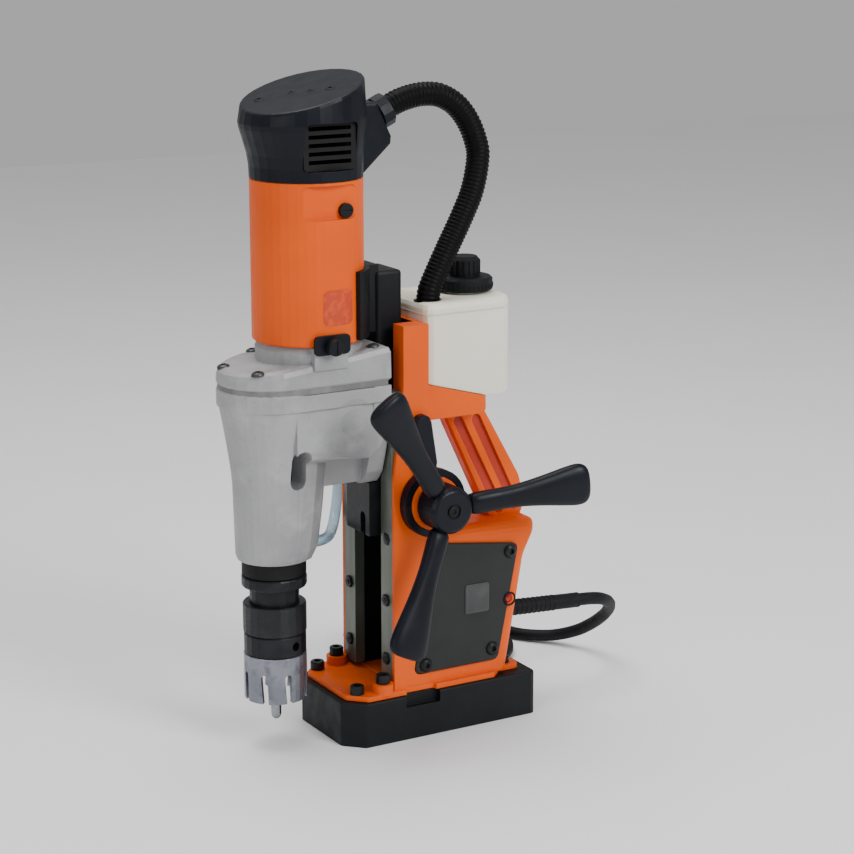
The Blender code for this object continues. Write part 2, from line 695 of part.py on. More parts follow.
def make_electrics(stand, buttons, rocker):
    panel = prism(rounded(PANEL, 3), -CASE_HALF - 3.3, -CASE_HALF - GAP, "Y")
    bevel(panel, lambda e: all(v.co.y < -CASE_HALF - 3.2 for v in e.verts), 1.0, 1)
    made = piece("side_panel", panel, "panel_grey", stand)
    cut(made, rod(LAMP_RADIUS + GAP, -CASE_HALF - 5, -CASE_HALF + 1, LAMP_AT, "Y", 16))
    plate = piece(
        "control_plate",
        prism(rectangle(*CONTROL_PLATE, 5, 3), CASE_HALF + GAP, CASE_HALF + 3.3, "Y"),
        "dark_plastic",
        stand,
    )
    for name, colour, x in BUTTONS:
        cut(plate, rod(BUTTON_RADIUS + GAP, CASE_HALF - 2, CASE_HALF + 6, (x, BUTTON_Z), "Y", 24))
        profile = [(7.4, CASE_HALF - 6), (BUTTON_RADIUS, CASE_HALF - 5), (BUTTON_RADIUS, CASE_HALF + 7), (7.0, CASE_HALF + 8)]
        piece(name, turned(profile, 24, (x, BUTTON_Z), "Y"), colour, buttons[name])
    x, z = SWITCH_AT
    cut(plate, prism(rectangle((x - 11.5, z - 16.5), (x + 11.5, z + 16.5)), CASE_HALF - 2, CASE_HALF + 6, "Y"))
    face = [(CASE_HALF - 4, z - 14), (CASE_HALF + 7.5, z - 15.5), (CASE_HALF + 4.5, z), (CASE_HALF + 7.5, z + 15.5), (CASE_HALF - 4, z + 14)]
    piece("magnet_switch", prism(face, x - 11, x + 11, "X"), "red_plastic", rocker)
    lamp = turned([(LAMP_RADIUS, -CASE_HALF + 4), (LAMP_RADIUS, -CASE_HALF - 1), (3.2, -CASE_HALF - 2.6), (1.2, -CASE_HALF - 3.2)], 16, LAMP_AT, "Y")
    piece("power_lamp", lamp, "red_plastic", stand)
    board = piece("control_board", block((6, -36, 60), (52, -34.2, 150)), "board_green", stand)
    join(board, block((12, -34.5, 70), (34, -22, 92)))
    join(board, rod(7.0, -34.5, -14, (40, 130), "Y", 16))


# Coolant tank -------------------------------------------------------------------------------------
TANK_FRONT = -12.6
TANK_REAR = 81.0
CAP_AT = (52.0, 0.0)
CONDUIT_FOOT = (1.5, -21.0, 386.0)
CONDUIT_HOLE = 9.0
CONDUIT_WELL = 12.5
DRAIN_AT = (30.0, 316.0)


def tank_shape(inset, roof):
    """The tank's outside, or with an inset its inside: a side outline and a plan outline."""
    side = [
        (TANK_FRONT + inset, 322.0 + inset),
        (50.0, 304.8 + inset),
        (TANK_REAR - inset, 304.8 + inset),
        (TANK_REAR - inset, roof),
        (TANK_FRONT + inset, roof),
    ]
    half = TANK_HALF - inset
    bm = prism(side, -half, half, "Y")
    rear = lambda e: all(abs(v.co.x - (TANK_REAR - inset)) < 0.1 for v in e.verts) and along((0, 0, 1))(e)
    front = lambda e: all(abs(v.co.x - (TANK_FRONT + inset)) < 0.1 for v in e.verts) and along((0, 0, 1))(e)
    bevel(bm, rear, 22.0 - inset, 4)
    bevel(bm, front, 7.0 - inset, 2)
    return bm


def make_tank(stand, cap_body, cock_body):
    outside = tank_shape(0.0, TANK_TOP)
    bevel(outside, lambda e: all(v.co.z > TANK_TOP - 0.1 for v in e.verts), 5.0, 2)
    tank = piece("coolant_tank", outside, "tank_white", stand)
    join(tank, rod(19.0, TANK_TOP - 1, TANK_TOP + 9, CAP_AT, sides=28))
    inside = cut(tank, tank_shape(2.6, TANK_TOP - 3.0))
    cut(inside, rod(CONDUIT_WELL + 2.6, 290, TANK_TOP + 5, CONDUIT_FOOT[:2], sides=24))
    cut(inside, block((-20, -60, 291), (CONDUIT_FOOT[0] + 0.5, CONDUIT_FOOT[1] + 0.5, TANK_TOP + 4)))
    cut(tank, rod(CONDUIT_WELL, 290, TANK_TOP + 5, CONDUIT_FOOT[:2], sides=24))
    cut(tank, rod(16.0, TANK_TOP - 6, TANK_TOP + 12, CAP_AT, sides=28))
    x, z = DRAIN_AT
    cut(tank, rod(4.2, TANK_HALF - 6, TANK_HALF + 2, DRAIN_AT, "Y", 12))
    top, hub_top = TANK_TOP + 14.0, TANK_TOP + 32.0
    profile = [(24.6, TANK_TOP + 2), (25.5, TANK_TOP + 3), (25.5, top - 2), (23.5, top), (13.8, top), (13.5, hub_top - 3), (11, hub_top)]
    cap = piece("tank_cap", turned(profile, 28, CAP_AT), "rubber", cap_body)
    cut(cap, rod(19.0 + GAP, TANK_TOP, TANK_TOP + 10, CAP_AT, sides=24))
    body = piece("drain_cock", rod(7.5, TANK_HALF + GAP, TANK_HALF + 12, DRAIN_AT, "Y", 20), "bronze", stand)
    join(body, rod(3.9, TANK_HALF - 4, TANK_HALF + 2, DRAIN_AT, "Y", 12))
    join(body, rod(4.0, x - 20, x, (TANK_HALF + 6, z), "X", 12))
    lever = prism(capsule((x, z), (x + 22, z), 4.5, 5), TANK_HALF + 12.3, TANK_HALF + 16, "Y")
    piece("cock_lever", lever, "red_plastic", cock_body)


# Gearbox ------------------------------------------------------------------------------------------
PARTING = 329.0
NOSE_PROFILE = ((32.5, 173.5), (33.6, 177), (34.4, 207), (35.2, 241), (36.8, 257), (39.5, 276), (43.5, 300), (46.4, 316), (47.4, 325.5), (45.0, PARTING - GAP))
GEAR_FLOOR = 296.0
SPINDLE_BORE = 19.0
BEARING_RADIUS = 27.0
SLOT_TURN = math.radians(12.0)  # where the drift slot looks, round from the lever side
LOWER_BEARING = (177.5, 193.5)
UPPER_BEARING = (281.0, 295.0)


def gearbox_outline(inset, rear=-50.0):
    """Plan of the gearbox: a round front about the spindle and straight sides to the column."""
    radius = 47.4 - inset
    points = []
    for step in range(15):
        angle = math.pi / 2 + math.pi * step / 14
        points.append((SPINDLE_X + radius * math.cos(angle), radius * math.sin(angle)))
    points += [(rear - inset, -radius), (rear - inset, radius)]
    return points


def make_gearbox(carriage):
    housing = piece("gearbox_housing", turned(NOSE_PROFILE, 32, (SPINDLE_X, 0)), "grey_alloy", carriage)
    join(housing, nose_web())
    arm = prism(rounded([(-140, 262, 0), (-60, 262, 22), (-50, 300, 0), (-50, 326, 0), (-140, 326, 0)], 4), -44, 44, "Y")
    join(housing, bevel(arm, lambda e: along((1, 0, 0))(e) and e.verts[0].co.z < 270, 14.0, 3))
    join(housing, prism(gearbox_outline(0.0), 312, 325.5))
    join(housing, prism(gearbox_outline(3.0), 325, PARTING - GAP))
    join(housing, prism(rounded([(-125, 236, 4), (-60, 236, 10), (-60, 270, 0), (-125, 270, 0)], 3), -20, 20, "Y"))
    pad = rounded([(-47, 326, 0), (-47, 318, 6), (-38, 268, 8), (-31, 246, 8), (-20, 233, 10), (20, 233, 10), (31, 246, 8), (38, 268, 8), (47, 318, 6), (47, 326, 0)], 2)
    join(housing, prism(pad, -66, -50, "X"))
    for side in (-1, 1):
        dish = turned([(0.5, -5.5), (8, -4.6), (16, -2.2), (23, 0.4), (23, 10)], 24)
        cut(housing, turn_to(dish, (0, side, 0), (-86, side * 47.5, 296)))
    hollow_gearbox(housing)
    make_gearbox_cover(carriage)


def nose_web():
    """The nose is drawn out towards the column behind the spindle."""
    rings = []
    for level, reach, half in ((173.5, 4, 31), (183, 7, 33), (216, 11, 33.5), (241, 13, 34), (262, 14, 35), (280, 14, 38)):
        outline = [(SPINDLE_X + reach + half * math.cos(t), half * math.sin(t)) for t in (math.pi * (k / 8 - 0.5) for k in range(9))]
        outline += [(SPINDLE_X, half), (SPINDLE_X, -half)]
        rings.append([(x, y, level) for x, y in outline])
    return loft(rings)


def hollow_gearbox(housing):
    axis = (SPINDLE_X, 0)
    cut(housing, prism(gearbox_outline(6.0, -90.0), GEAR_FLOOR, PARTING + 2))
    cut(housing, rod(SPINDLE_BORE, 160, GEAR_FLOOR + 5, axis, sides=24))
    cut(housing, rod(BEARING_RADIUS + GAP, 160, LOWER_BEARING[1] + GAP, axis, sides=24))
    cut(housing, rod(BEARING_RADIUS + GAP, UPPER_BEARING[0] - GAP, GEAR_FLOOR + 5, axis, sides=24))
    slot = prism(capsule((0, 248), (0, 268), 8.0, 6), -60, 60, "Y")
    turn = Matrix.Translation((SPINDLE_X, 0, 0)) @ Matrix.Rotation(SLOT_TURN, 4, "Z")
    bmesh.ops.transform(slot, matrix=turn, verts=slot.verts)
    cut(housing, slot)
    cut(housing, rod(4.0, -110, -88, (14, 176), "X", 12))


def cover_top(x):
    """The cover's top slopes down to the front."""
    return 360.0 + (x + 60.0) * 0.125


SELECTOR_AT = (-109.0, 367.0)


def make_gearbox_cover(carriage):
    lower = [(x, y, PARTING) for x, y in gearbox_outline(3.0)]
    edge = [(x, y, PARTING + 3.5) for x, y in gearbox_outline(0.0)]
    side = [(x, y, cover_top(x) - 6.0) for x, y in gearbox_outline(0.3)]
    shoulder = [(x, y, cover_top(x) - 1.8) for x, y in gearbox_outline(1.8)]
    upper = [(x, y, cover_top(x)) for x, y in gearbox_outline(6.0)]
    cover = piece("gearbox_cover", loft([lower, edge, side, shoulder, upper]), "grey_alloy", carriage)
    join(cover, turned([(46.0, 346), (46.5, 360), (43.5, 365.4)], 40, (MOTOR_X, 0)))
    x, z = SELECTOR_AT
    join(cover, block((x - 16, -MOTOR_RADIUS, 346), (x + 16, -40, MOTOR_LEVELS[0] - 0.4)))
    cut(cover, prism(gearbox_outline(6.0, -90.0), PARTING - 2, 341))
    cut(cover, rod(9.0, 335, 367, (MOTOR_X, 0), sides=24))
    cut(cover, rod(3.5, -60, -42.5, SELECTOR_AT, "Y", 16))


def make_selector(selector, carriage):
    """The two-speed gear selector, a knob on a short shaft in front of a dark plate."""
    x, z = SELECTOR_AT
    outline = rectangle((x - 17, z - 7.5), (x + 17, z + 9.5), 4, 3)
    plate = piece("selector_plate", prism(outline, -MOTOR_RADIUS - 2.8, -MOTOR_RADIUS - GAP, "Y"), "dark_plastic", carriage)
    cut(plate, rod(3.5, -60, -45, SELECTOR_AT, "Y", 16))
    profile = [(3.0, -44), (3.0, -52), (7.2, -52), (7.6, -53), (7.6, -58.6), (6.6, -60)]
    knob = piece("gear_selector", turned(profile, 24, SELECTOR_AT, "Y"), "black_paint", selector)
    cut(knob, block((x - 0.7, -62, z - 6), (x + 0.7, -59, z + 6)))


# Spindle, chuck and cutter ------------------------------------------------------------------------
CUTTER_RADIUS = 28.0
CUTTER_TEETH = 8


def make_spindle(spindle):
    axis = (SPINDLE_X, 0)
    towards_lay = math.atan2(LAY_Y, LAY_X - SPINDLE_X)
    shaft = piece("spindle", turned([(17, 176.8), (17, 298), (8.0, 298.5), (8.0, 318)], 24, axis), "steel", spindle)
    outline = gear_outline(SPINDLE_TEETH, MODULE_2, axis, gear_phase(SPINDLE_TEETH, towards_lay, gap=True))
    join(shaft, prism(outline, 301, 314))
    cut(shaft, rod(11.8, 170, 238, axis, sides=24))
    cut(shaft, prism(capsule((SPINDLE_X, 236), (SPINDLE_X, 264), 4.0, 4), -30, 30, "Y"))
    profile = [
        (22.0, 87.0), (27.6, 87.6), (27.6, 104.4), (26.8, 105.4), (22.0, 105.4), (22.0, 147.6), (28.3, 148.2),
        (29.0, 149.6), (29.0, 156.8), (28.3, 158.0), (26.4, 158.4), (26.4, 172.4), (25.6, 173.2), (16.0, 173.2),
        (16.0, 176.4), (11.4, 176.5), (10.0, 232.0),
    ]
    chuck = piece("chuck_body", turned(profile, 24, axis), "black_steel", spindle)
    cut(chuck, rod(9.75, 80, 118, axis, sides=20))
    cut(chuck, rod(4.0, 110, 160, axis, sides=16))
    cut(chuck, turn_to(rod(4.2, 12, 40, (0, 0), sides=12), (0.28, -0.96, 0), (SPINDLE_X, 0, 96)))
    make_cutter(spindle)


def make_cutter(spindle):
    """An annular cutter: a cup with gullets, on a flatted shank."""
    axis = (SPINDLE_X, 0)
    profile = [
        (CUTTER_RADIUS, 45.0), (CUTTER_RADIUS, 86.0), (CUTTER_RADIUS - 1, 86.7), (9.5, 86.7), (9.5, 114.0),
        (8.5, 115.0), (3.45, 115.0), (3.45, 80.0), (CUTTER_RADIUS - 4.6, 80.0), (CUTTER_RADIUS - 4.6, 45.0),
        (CUTTER_RADIUS, 45.0),
    ]
    cutter = piece("annular_cutter", turned(profile, 32, axis), "steel", spindle)
    for tooth in range(CUTTER_TEETH):
        turn = 2 * math.pi * tooth / CUTTER_TEETH
        bm = prism([(-2.6, -2), (2.6, -2), (4.4, 24), (1.6, 27), (-1.6, 25)], CUTTER_RADIUS - 8, CUTTER_RADIUS + 4, "Y")
        bmesh.ops.transform(bm, matrix=Matrix.Translation((SPINDLE_X, 0, 45)) @ Matrix.Rotation(turn, 4, "Z"), verts=bm.verts)
        cut(cutter, bm)


def make_chuck_parts(sleeve_body, pin_body):
    axis = (SPINDLE_X, 0)
    profile = [(27.2, 105.8), (28.2, 106.8), (28.2, 131.7), (27.2, 132.7), (22.25, 132.7), (22.25, 105.8)]
    piece("chuck_sleeve", turned([*profile, profile[0]], 24, axis), "black_steel", sleeve_body)
    pin = turned([(0.6, 22.7), (3.2, 27.0), (3.2, 124.0), (2.6, 125.0)], 16, axis)
    piece("pilot_pin", pin, "steel", pin_body)


def make_bearings(carriage):
    """The spindle's two bearings, each drawn as one ring with running clearance to the spindle."""
    for name, (low, high) in (("spindle_bearing_lower", LOWER_BEARING), ("spindle_bearing_upper", UPPER_BEARING)):
        profile = [(BEARING_RADIUS, low), (BEARING_RADIUS, high), (17.15, high), (17.15, low)]
        piece(name, turned([*profile, profile[0]], 24, (SPINDLE_X, 0)), "steel", carriage)


# Motor --------------------------------------------------------------------------------------------
MOTOR_LEVELS = (365.7, 505.0)
POCKET_Y = 42.0


def make_motor(carriage, armature_body, layshaft_body):
    axis = (MOTOR_X, 0)
    low, high = MOTOR_LEVELS
    profile = [(MOTOR_RADIUS - 1.2, low), (MOTOR_RADIUS, low + 1.5), (MOTOR_RADIUS, high - 0.8), (MOTOR_RADIUS - 0.6, high)]
    housing = piece("motor_housing", turned(profile, 40, axis), "orange_paint", carriage)
    cut(housing, turned([(44.8, 371), (44.8, 464), (37.5, 470), (37.5, 510)], 28, axis))
    cut(housing, rod(12.0, 360, 375, axis, sides=24))
    cut(housing, rod(3.5, -60, -42.5, SELECTOR_AT, "Y", 16))
    for side, name in ((-1, "brush_cap_right"), (1, "brush_cap_left")):
        levels = sorted((side * POCKET_Y, side * 60))
        cut(housing, prism(rectangle((MOTOR_X - 25, 473.5), (MOTOR_X + 25, 502.5), 6, 3), *levels, "Y"))
        levels = sorted((side * (POCKET_Y + GAP), side * (POCKET_Y + 4.2)))
        cap = piece(name, rod(6.3, *levels, (-91.5, 480.5), "Y", 20), "black_paint", carriage)
        cut(cap, prism(rectangle((-96, 479.8), (-87, 481.2)), *sorted((side * (POCKET_Y + 3), side * 60)), "Y"))
    ring = [(44.4, 388), (44.4, 460), (27.0, 460), (27.0, 388)]
    piece("field_stator", turned([*ring, ring[0]], 24, axis), "black_steel", carriage)
    armature = piece("armature", turned([(5.0, 316), (5.0, 384), (25.5, 386), (25.5, 462), (14.0, 466), (14.0, 494), (5.0, 496), (5.0, 512)], 20, axis), "steel", armature_body)
    towards_lay = math.atan2(LAY_Y, LAY_X - MOTOR_X)
    join(armature, prism(gear_outline(PINION_TEETH, MODULE_1, axis, gear_phase(PINION_TEETH, towards_lay, gap=False)), 317, 328))
    join(armature, turned([(9, 375), (34, 376), (34, 382), (9, 384)], 20, axis))
    make_layshaft(layshaft_body)


def make_layshaft(body):
    """The layshaft's large gear is driven by the armature and its small gear drives the spindle."""
    centre = (LAY_X, LAY_Y)
    to_motor = math.atan2(-LAY_Y, MOTOR_X - LAY_X)
    to_spindle = math.atan2(-LAY_Y, SPINDLE_X - LAY_X)
    shaft = piece("layshaft", rod(4.5, 297, 338, centre, sides=16), "steel", body)
    big = gear_outline(LAY_BIG_TEETH, MODULE_1, centre, gear_phase(LAY_BIG_TEETH, to_motor, gap=True))
    small = gear_outline(LAY_SMALL_TEETH, MODULE_2, centre, gear_phase(LAY_SMALL_TEETH, to_spindle, gap=False))
    join(shaft, prism(big, 319, 326))
    join(shaft, prism(small, 300, 315))


# Motor cap ----------------------------------------------------------------------------------------
CAP_LEAN = 0.32  # how much of the lid's slope runs across, towards the lever side
CAP_RINGS = (  # radius, level, slope along X, shift along X
    (48.9, 505.3, 0, 0),
    (49.2, 516, 0, 0),
    (50.3, 526, 0, -0.5),
    (52.6, 538, 0, -1.6),
    (54.5, 549, 0.02, -2.8),
    (55.0, 555, 0.05, -3.1),
    (54.7, 558.5, 0.08, -3.1),
    (53.4, 575.2, 0.275, -3.0),
    (52.6, 577.2, 0.28, -3.0),
    (51.0, 577.8, 0.28, -3.0),
)
CAP_INSIDE = ((45.0, 503, 0, 0), (45.0, 515, 0, 0), (48.4, 540, 0.03, -1.6), (48.0, 556, 0.15, -3.0), (40, 568, 0.26, -3.0))
NUT_AXIS = (0.9, 0.0, 0.436)
NUT_AT = (-39.0, 0.0, 553.6)


def cap_ring(radius, level, slope, shift, sides):
    return [(MOTOR_X + shift + x, y, level + slope * (x + CAP_LEAN * y)) for x, y in circle(radius, sides)]


def make_motor_cap(carriage):
    sides = 32
    cap = piece("motor_cap", loft([cap_ring(*ring, sides) for ring in CAP_RINGS]), "dark_plastic", carriage)
    wedge = [(-62, 507), (-57, 507), (-31.5, 530), (-30.8, 537), (-32.7, 540.6), (-45.1, 566.2), (-62, 566.2)]
    join(cap, bevel(prism(wedge, -16, 16, "Y"), lambda e: abs(e.verts[0].co.y - e.verts[1].co.y) < 0.01 and e.verts[0].co.x > -60, 2.5, 2))
    cut(cap, loft([cap_ring(*ring, 24) for ring in CAP_INSIDE]))
    cut(cap, turn_to(rod(7.0, -26, 2, (0, 0), sides=16), NUT_AXIS, NUT_AT))
    for side, name in ((-1, "vent_grille_right"), (1, "vent_grille_left")):
        levels = sorted((side * 30, side * 60))
        cut(cap, prism(rectangle((MOTOR_X - 25, 514.5), (MOTOR_X + 25, 555), 4, 3), *levels, "Y"))
        make_grille(name, side, carriage)
    nut = turned([(13.2, 0.4), (15.0, 1.6), (15.0, 12), (12.6, 14)], 12)
    gland = piece("conduit_gland_upper", turn_to(nut, NUT_AXIS, NUT_AT), "dark_plastic", carriage)
    cut(gland, turn_to(rod(6.5, -2, 20, (0, 0), sides=16), NUT_AXIS, NUT_AT))


def make_grille(name, side, carriage):
    """A slotted insert in the cap's window."""
    levels = sorted((side * 41.5, side * 44.0))
    outline = rectangle((MOTOR_X - 24.6, 514.9), (MOTOR_X + 24.6, 554.6), 3.6, 3)
    grille = piece(name, prism(outline, *levels, "Y"), "black_paint", carriage)
    if abs(side) == 1:
        for row in range(5):
            z = 520.5 + row * 7.0
            slot = prism(rectangle((MOTOR_X - 20, z), (MOTOR_X + 20, z + 3.4)), *sorted((side * 40, side * 46)), "Y")
            cut(grille, slot)


# Hoses and the mains cord -------------------------------------------------------------------------
CONDUIT_DIAMETER = 21.5
CONDUIT_ROUTE = (
    (-25.8, 0, 560.1), (-16, -0.5, 564.7), (-2, -1.5, 568.5), (11, -3.4, 569.8), (24, -5, 567.8), (38, -7, 559.5),
    (49.1, -8.8, 545.5), (56, -11.1, 528), (57.2, -13.5, 512), (49.7, -16.6, 485), (36.6, -18.6, 460), (22.8, -20, 437),
    (11, -20.8, 416), (3.6, -21, 401), (1.5, -21, 388.8),
)
COOLANT_DIAMETER = 10.0
COOLANT_ROUTE = (
    (9.3, 50, 316), (3, 50.6, 316), (-5, 53, 314.5), (-14, 55.8, 310), (-25, 57, 300), (-35, 57.5, 283), (-42, 57.5, 258), (-46, 57.5, 230), (-49, 56, 203),
    (-57, 47, 185), (-67, 34, 178), (-78, 21, 176.2), (-89, 14.6, 176), (-99.8, 14, 176),
)
CORD_DIAMETER = 12.0
CORD_ROUTE = (
    (167.2, -18, 87.55), (182, -17.8, 86.4), (201, -11, 81), (220, 4, 69), (232, 26, 52), (235, 51, 34),
    (231, 75, 19), (219, 97, 9.5), (204, 115, 6.7), (193, 130, 6.4), (189, 146, 6.4),
)
COIL_CENTRE = (98.0, 140.0)
COIL_RADII = (48.0, 84.0)
COIL_HEIGHT = 24.6


def make_conduit(stand):
    x, y, z = CONDUIT_FOOT
    shelf = 321.4
    profile = [(8.7, 293), (8.7, shelf), (12.2, shelf), (12.2, z + 0.2), (7.0, z + 0.2), (7.0, 293)]
    piece("conduit_gland_lower", turned([*profile, profile[0]], 20, (x, y)), "dark_plastic", stand)
    hose("conduit_hose", smooth_route(CONDUIT_ROUTE, 9.0), CONDUIT_DIAMETER, "rubber", 3)
    hose("coolant_hose", smooth_route(COOLANT_ROUTE, 9.0), COOLANT_DIAMETER, "hose_blue", 2)


def make_coolant_fitting(carriage):
    fitting = rod(3.6, -106.0, -100.6, (14, 176), "X", 12)
    made = piece("coolant_fitting", fitting, "bronze", carriage)
    join(made, rod(6.0, -104.2, -100.6, (14, 176), "X", 6))


def make_cord(stand):
    profile = [(9.0, -6), (9.0, 0.8), (12.0, 0.8), (12.0, 6), (8.4, 9), (7.4, 14), (7.1, 84), (6.4, 86)]
    piece("cord_strain_relief", turn_to(turned(profile, 20), CORD_HEADING, CORD_EXIT), "rubber", stand)
    hose("mains_cord", smooth_route(CORD_ROUTE, 26.0), CORD_DIAMETER, "rubber", 2)
    inner, outer = COIL_RADII
    profile = [(inner, 2.6), (inner, COIL_HEIGHT - 2), (inner + 2.5, COIL_HEIGHT), (outer - 2.5, COIL_HEIGHT), (outer, COIL_HEIGHT - 2), (outer, 2.6), (outer - 2.5, GAP), (inner + 2.5, GAP), (inner, 2.6)]
    piece("cord_coil", turned(profile, 32, COIL_CENTRE), "rubber", stand)
    make_plug(stand)


def make_plug(stand):
    """A two-pin mains plug that lies inside the coil."""
    cx, cy = COIL_CENTRE
    y, z = cy - 16, 19.0
    profile = [(7.0, cx - 27), (9.5, cx - 20), (13.5, cx - 12), (18.3, cx + 4), (18.3, cx + 18), (17.6, cx + 19)]
    plug = piece("mains_plug", turned(profile, 20, (y, z), "X"), "rubber", stand)
    for side in (-1, 1):
        join(plug, rod(2.4, cx + 15, cx + 36, (y + side * 9.5, z), "X", 12))


def main():
    clear_scene()
    stand = body_empty("stand_frame")
    carriage = body_empty("carriage_frame")
    feed = body_empty("feed_axis", (FEED_X, 0, FEED_Z))
    lock = body_empty("lock_axis", (FEED_X, LOCK_LEVELS[0], FEED_Z))
    spindle = body_empty("spindle_axis", (SPINDLE_X, 0, 0))
    sleeve = body_empty("sleeve_axis", (SPINDLE_X, 0, 120))
    pin = body_empty("pin_axis", (SPINDLE_X, 0, 60))
    armature = body_empty("armature_axis", (MOTOR_X, 0, 0))
    layshaft = body_empty("layshaft_axis", (LAY_X, LAY_Y, 0))
    selector = body_empty("selector_axis", (SELECTOR_AT[0], -MOTOR_RADIUS, SELECTOR_AT[1]))
    cap = body_empty("tank_cap_axis", (*CAP_AT, TANK_TOP))
    cock = body_empty("cock_axis", (DRAIN_AT[0], TANK_HALF, DRAIN_AT[1]))
    rocker = body_empty("rocker_axis", (SWITCH_AT[0], CASE_HALF, SWITCH_AT[1]))
    buttons = {name: body_empty(f"{name}_axis", (x, CASE_HALF, BUTTON_Z)) for name, _, x in BUTTONS}
    make_foot(stand)
    make_foot_bolts(stand)
    make_casting(stand)
    make_gibs(stand)
    make_slide(carriage)
    make_feed(feed, stand)
    make_lock_lever(lock)
    make_electrics(stand, buttons, rocker)
    make_tank(stand, cap, cock)
    make_gearbox(carriage)
    make_selector(selector, carriage)
    make_spindle(spindle)
    make_chuck_parts(sleeve, pin)
    make_bearings(carriage)
    make_motor(carriage, armature, layshaft)
    make_motor_cap(carriage)
    make_conduit(stand)
    make_coolant_fitting(carriage)
    make_cord(stand)


main()
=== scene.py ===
"""Magnetic drill press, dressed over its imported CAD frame.

Lengths are written in millimetres and made into metres by MM. -X is the front, -Y is the side with the
feed levers, and +Z is up.
"""

import json
import math

import bmesh
import bpy
from mathutils import Matrix, Vector


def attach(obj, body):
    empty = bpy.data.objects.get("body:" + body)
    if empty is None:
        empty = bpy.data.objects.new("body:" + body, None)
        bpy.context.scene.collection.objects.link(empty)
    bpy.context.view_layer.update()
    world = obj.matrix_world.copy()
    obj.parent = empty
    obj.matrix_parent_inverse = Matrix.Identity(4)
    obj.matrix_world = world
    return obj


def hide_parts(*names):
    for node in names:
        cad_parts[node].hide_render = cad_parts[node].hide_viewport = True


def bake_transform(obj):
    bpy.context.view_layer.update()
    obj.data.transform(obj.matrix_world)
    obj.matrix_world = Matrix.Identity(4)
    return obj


MM = 0.001
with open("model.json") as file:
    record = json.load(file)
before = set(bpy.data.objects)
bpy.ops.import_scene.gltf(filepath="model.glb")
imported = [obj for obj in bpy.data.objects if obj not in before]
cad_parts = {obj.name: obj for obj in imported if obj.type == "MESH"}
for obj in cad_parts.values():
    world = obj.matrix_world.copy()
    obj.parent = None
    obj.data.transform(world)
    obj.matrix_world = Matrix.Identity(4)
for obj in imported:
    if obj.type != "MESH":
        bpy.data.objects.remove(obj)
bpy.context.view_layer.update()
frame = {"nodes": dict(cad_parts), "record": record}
NODES = frame["nodes"]

# Places shared with the CAD, in millimetres; a pair is X and Z unless it says otherwise
SPINDLE_X = -142.5
MOTOR_X = -105.9
MOTOR_RADIUS = 48.8
LID_CENTRE = MOTOR_X - 3.0
LID_LEVEL = 577.8
LID_SLOPE = (0.28, 0.0896)  # rise along X and along Y
FEED = (-12.0, 217.0)
HUB_FACE = -89.6
PANEL_FACE = -49.3
CONTROL_FACE = 49.3
LAMP = (71.5, 113.0)
GIB_FACE = -48.3
CAP_AT = (52.0, 0.0)  # X and Y
STRAIN_RELIEF_AT = (80.0, -18.0, 92.8)
STRAIN_RELIEF_HEADING = (0.998, 0, -0.06)


# Camera -------------------------------------------------------------------------------------------
def make_camera():
    lens = bpy.data.cameras.new("view_camera")
    camera = bpy.data.objects.new("view_camera", lens)
    bpy.context.scene.collection.objects.link(camera)
    camera.location = (-0.99576, -1.72679, 0.7584)
    camera.rotation_euler = (math.radians(76.3), 0, math.radians(-30.3))
    lens.sensor_width = 36.0
    lens.lens = 96.29
    lens.clip_start = 0.05
    lens.clip_end = 30.0
    bpy.context.scene.camera = camera


make_camera()


# Materials ----------------------------------------------------------------------------------------
MIX_FACTOR, MIX_BELOW, MIX_ABOVE, MIX_RESULT = 0, 6, 7, 2  # sockets of a Mix node set to colour


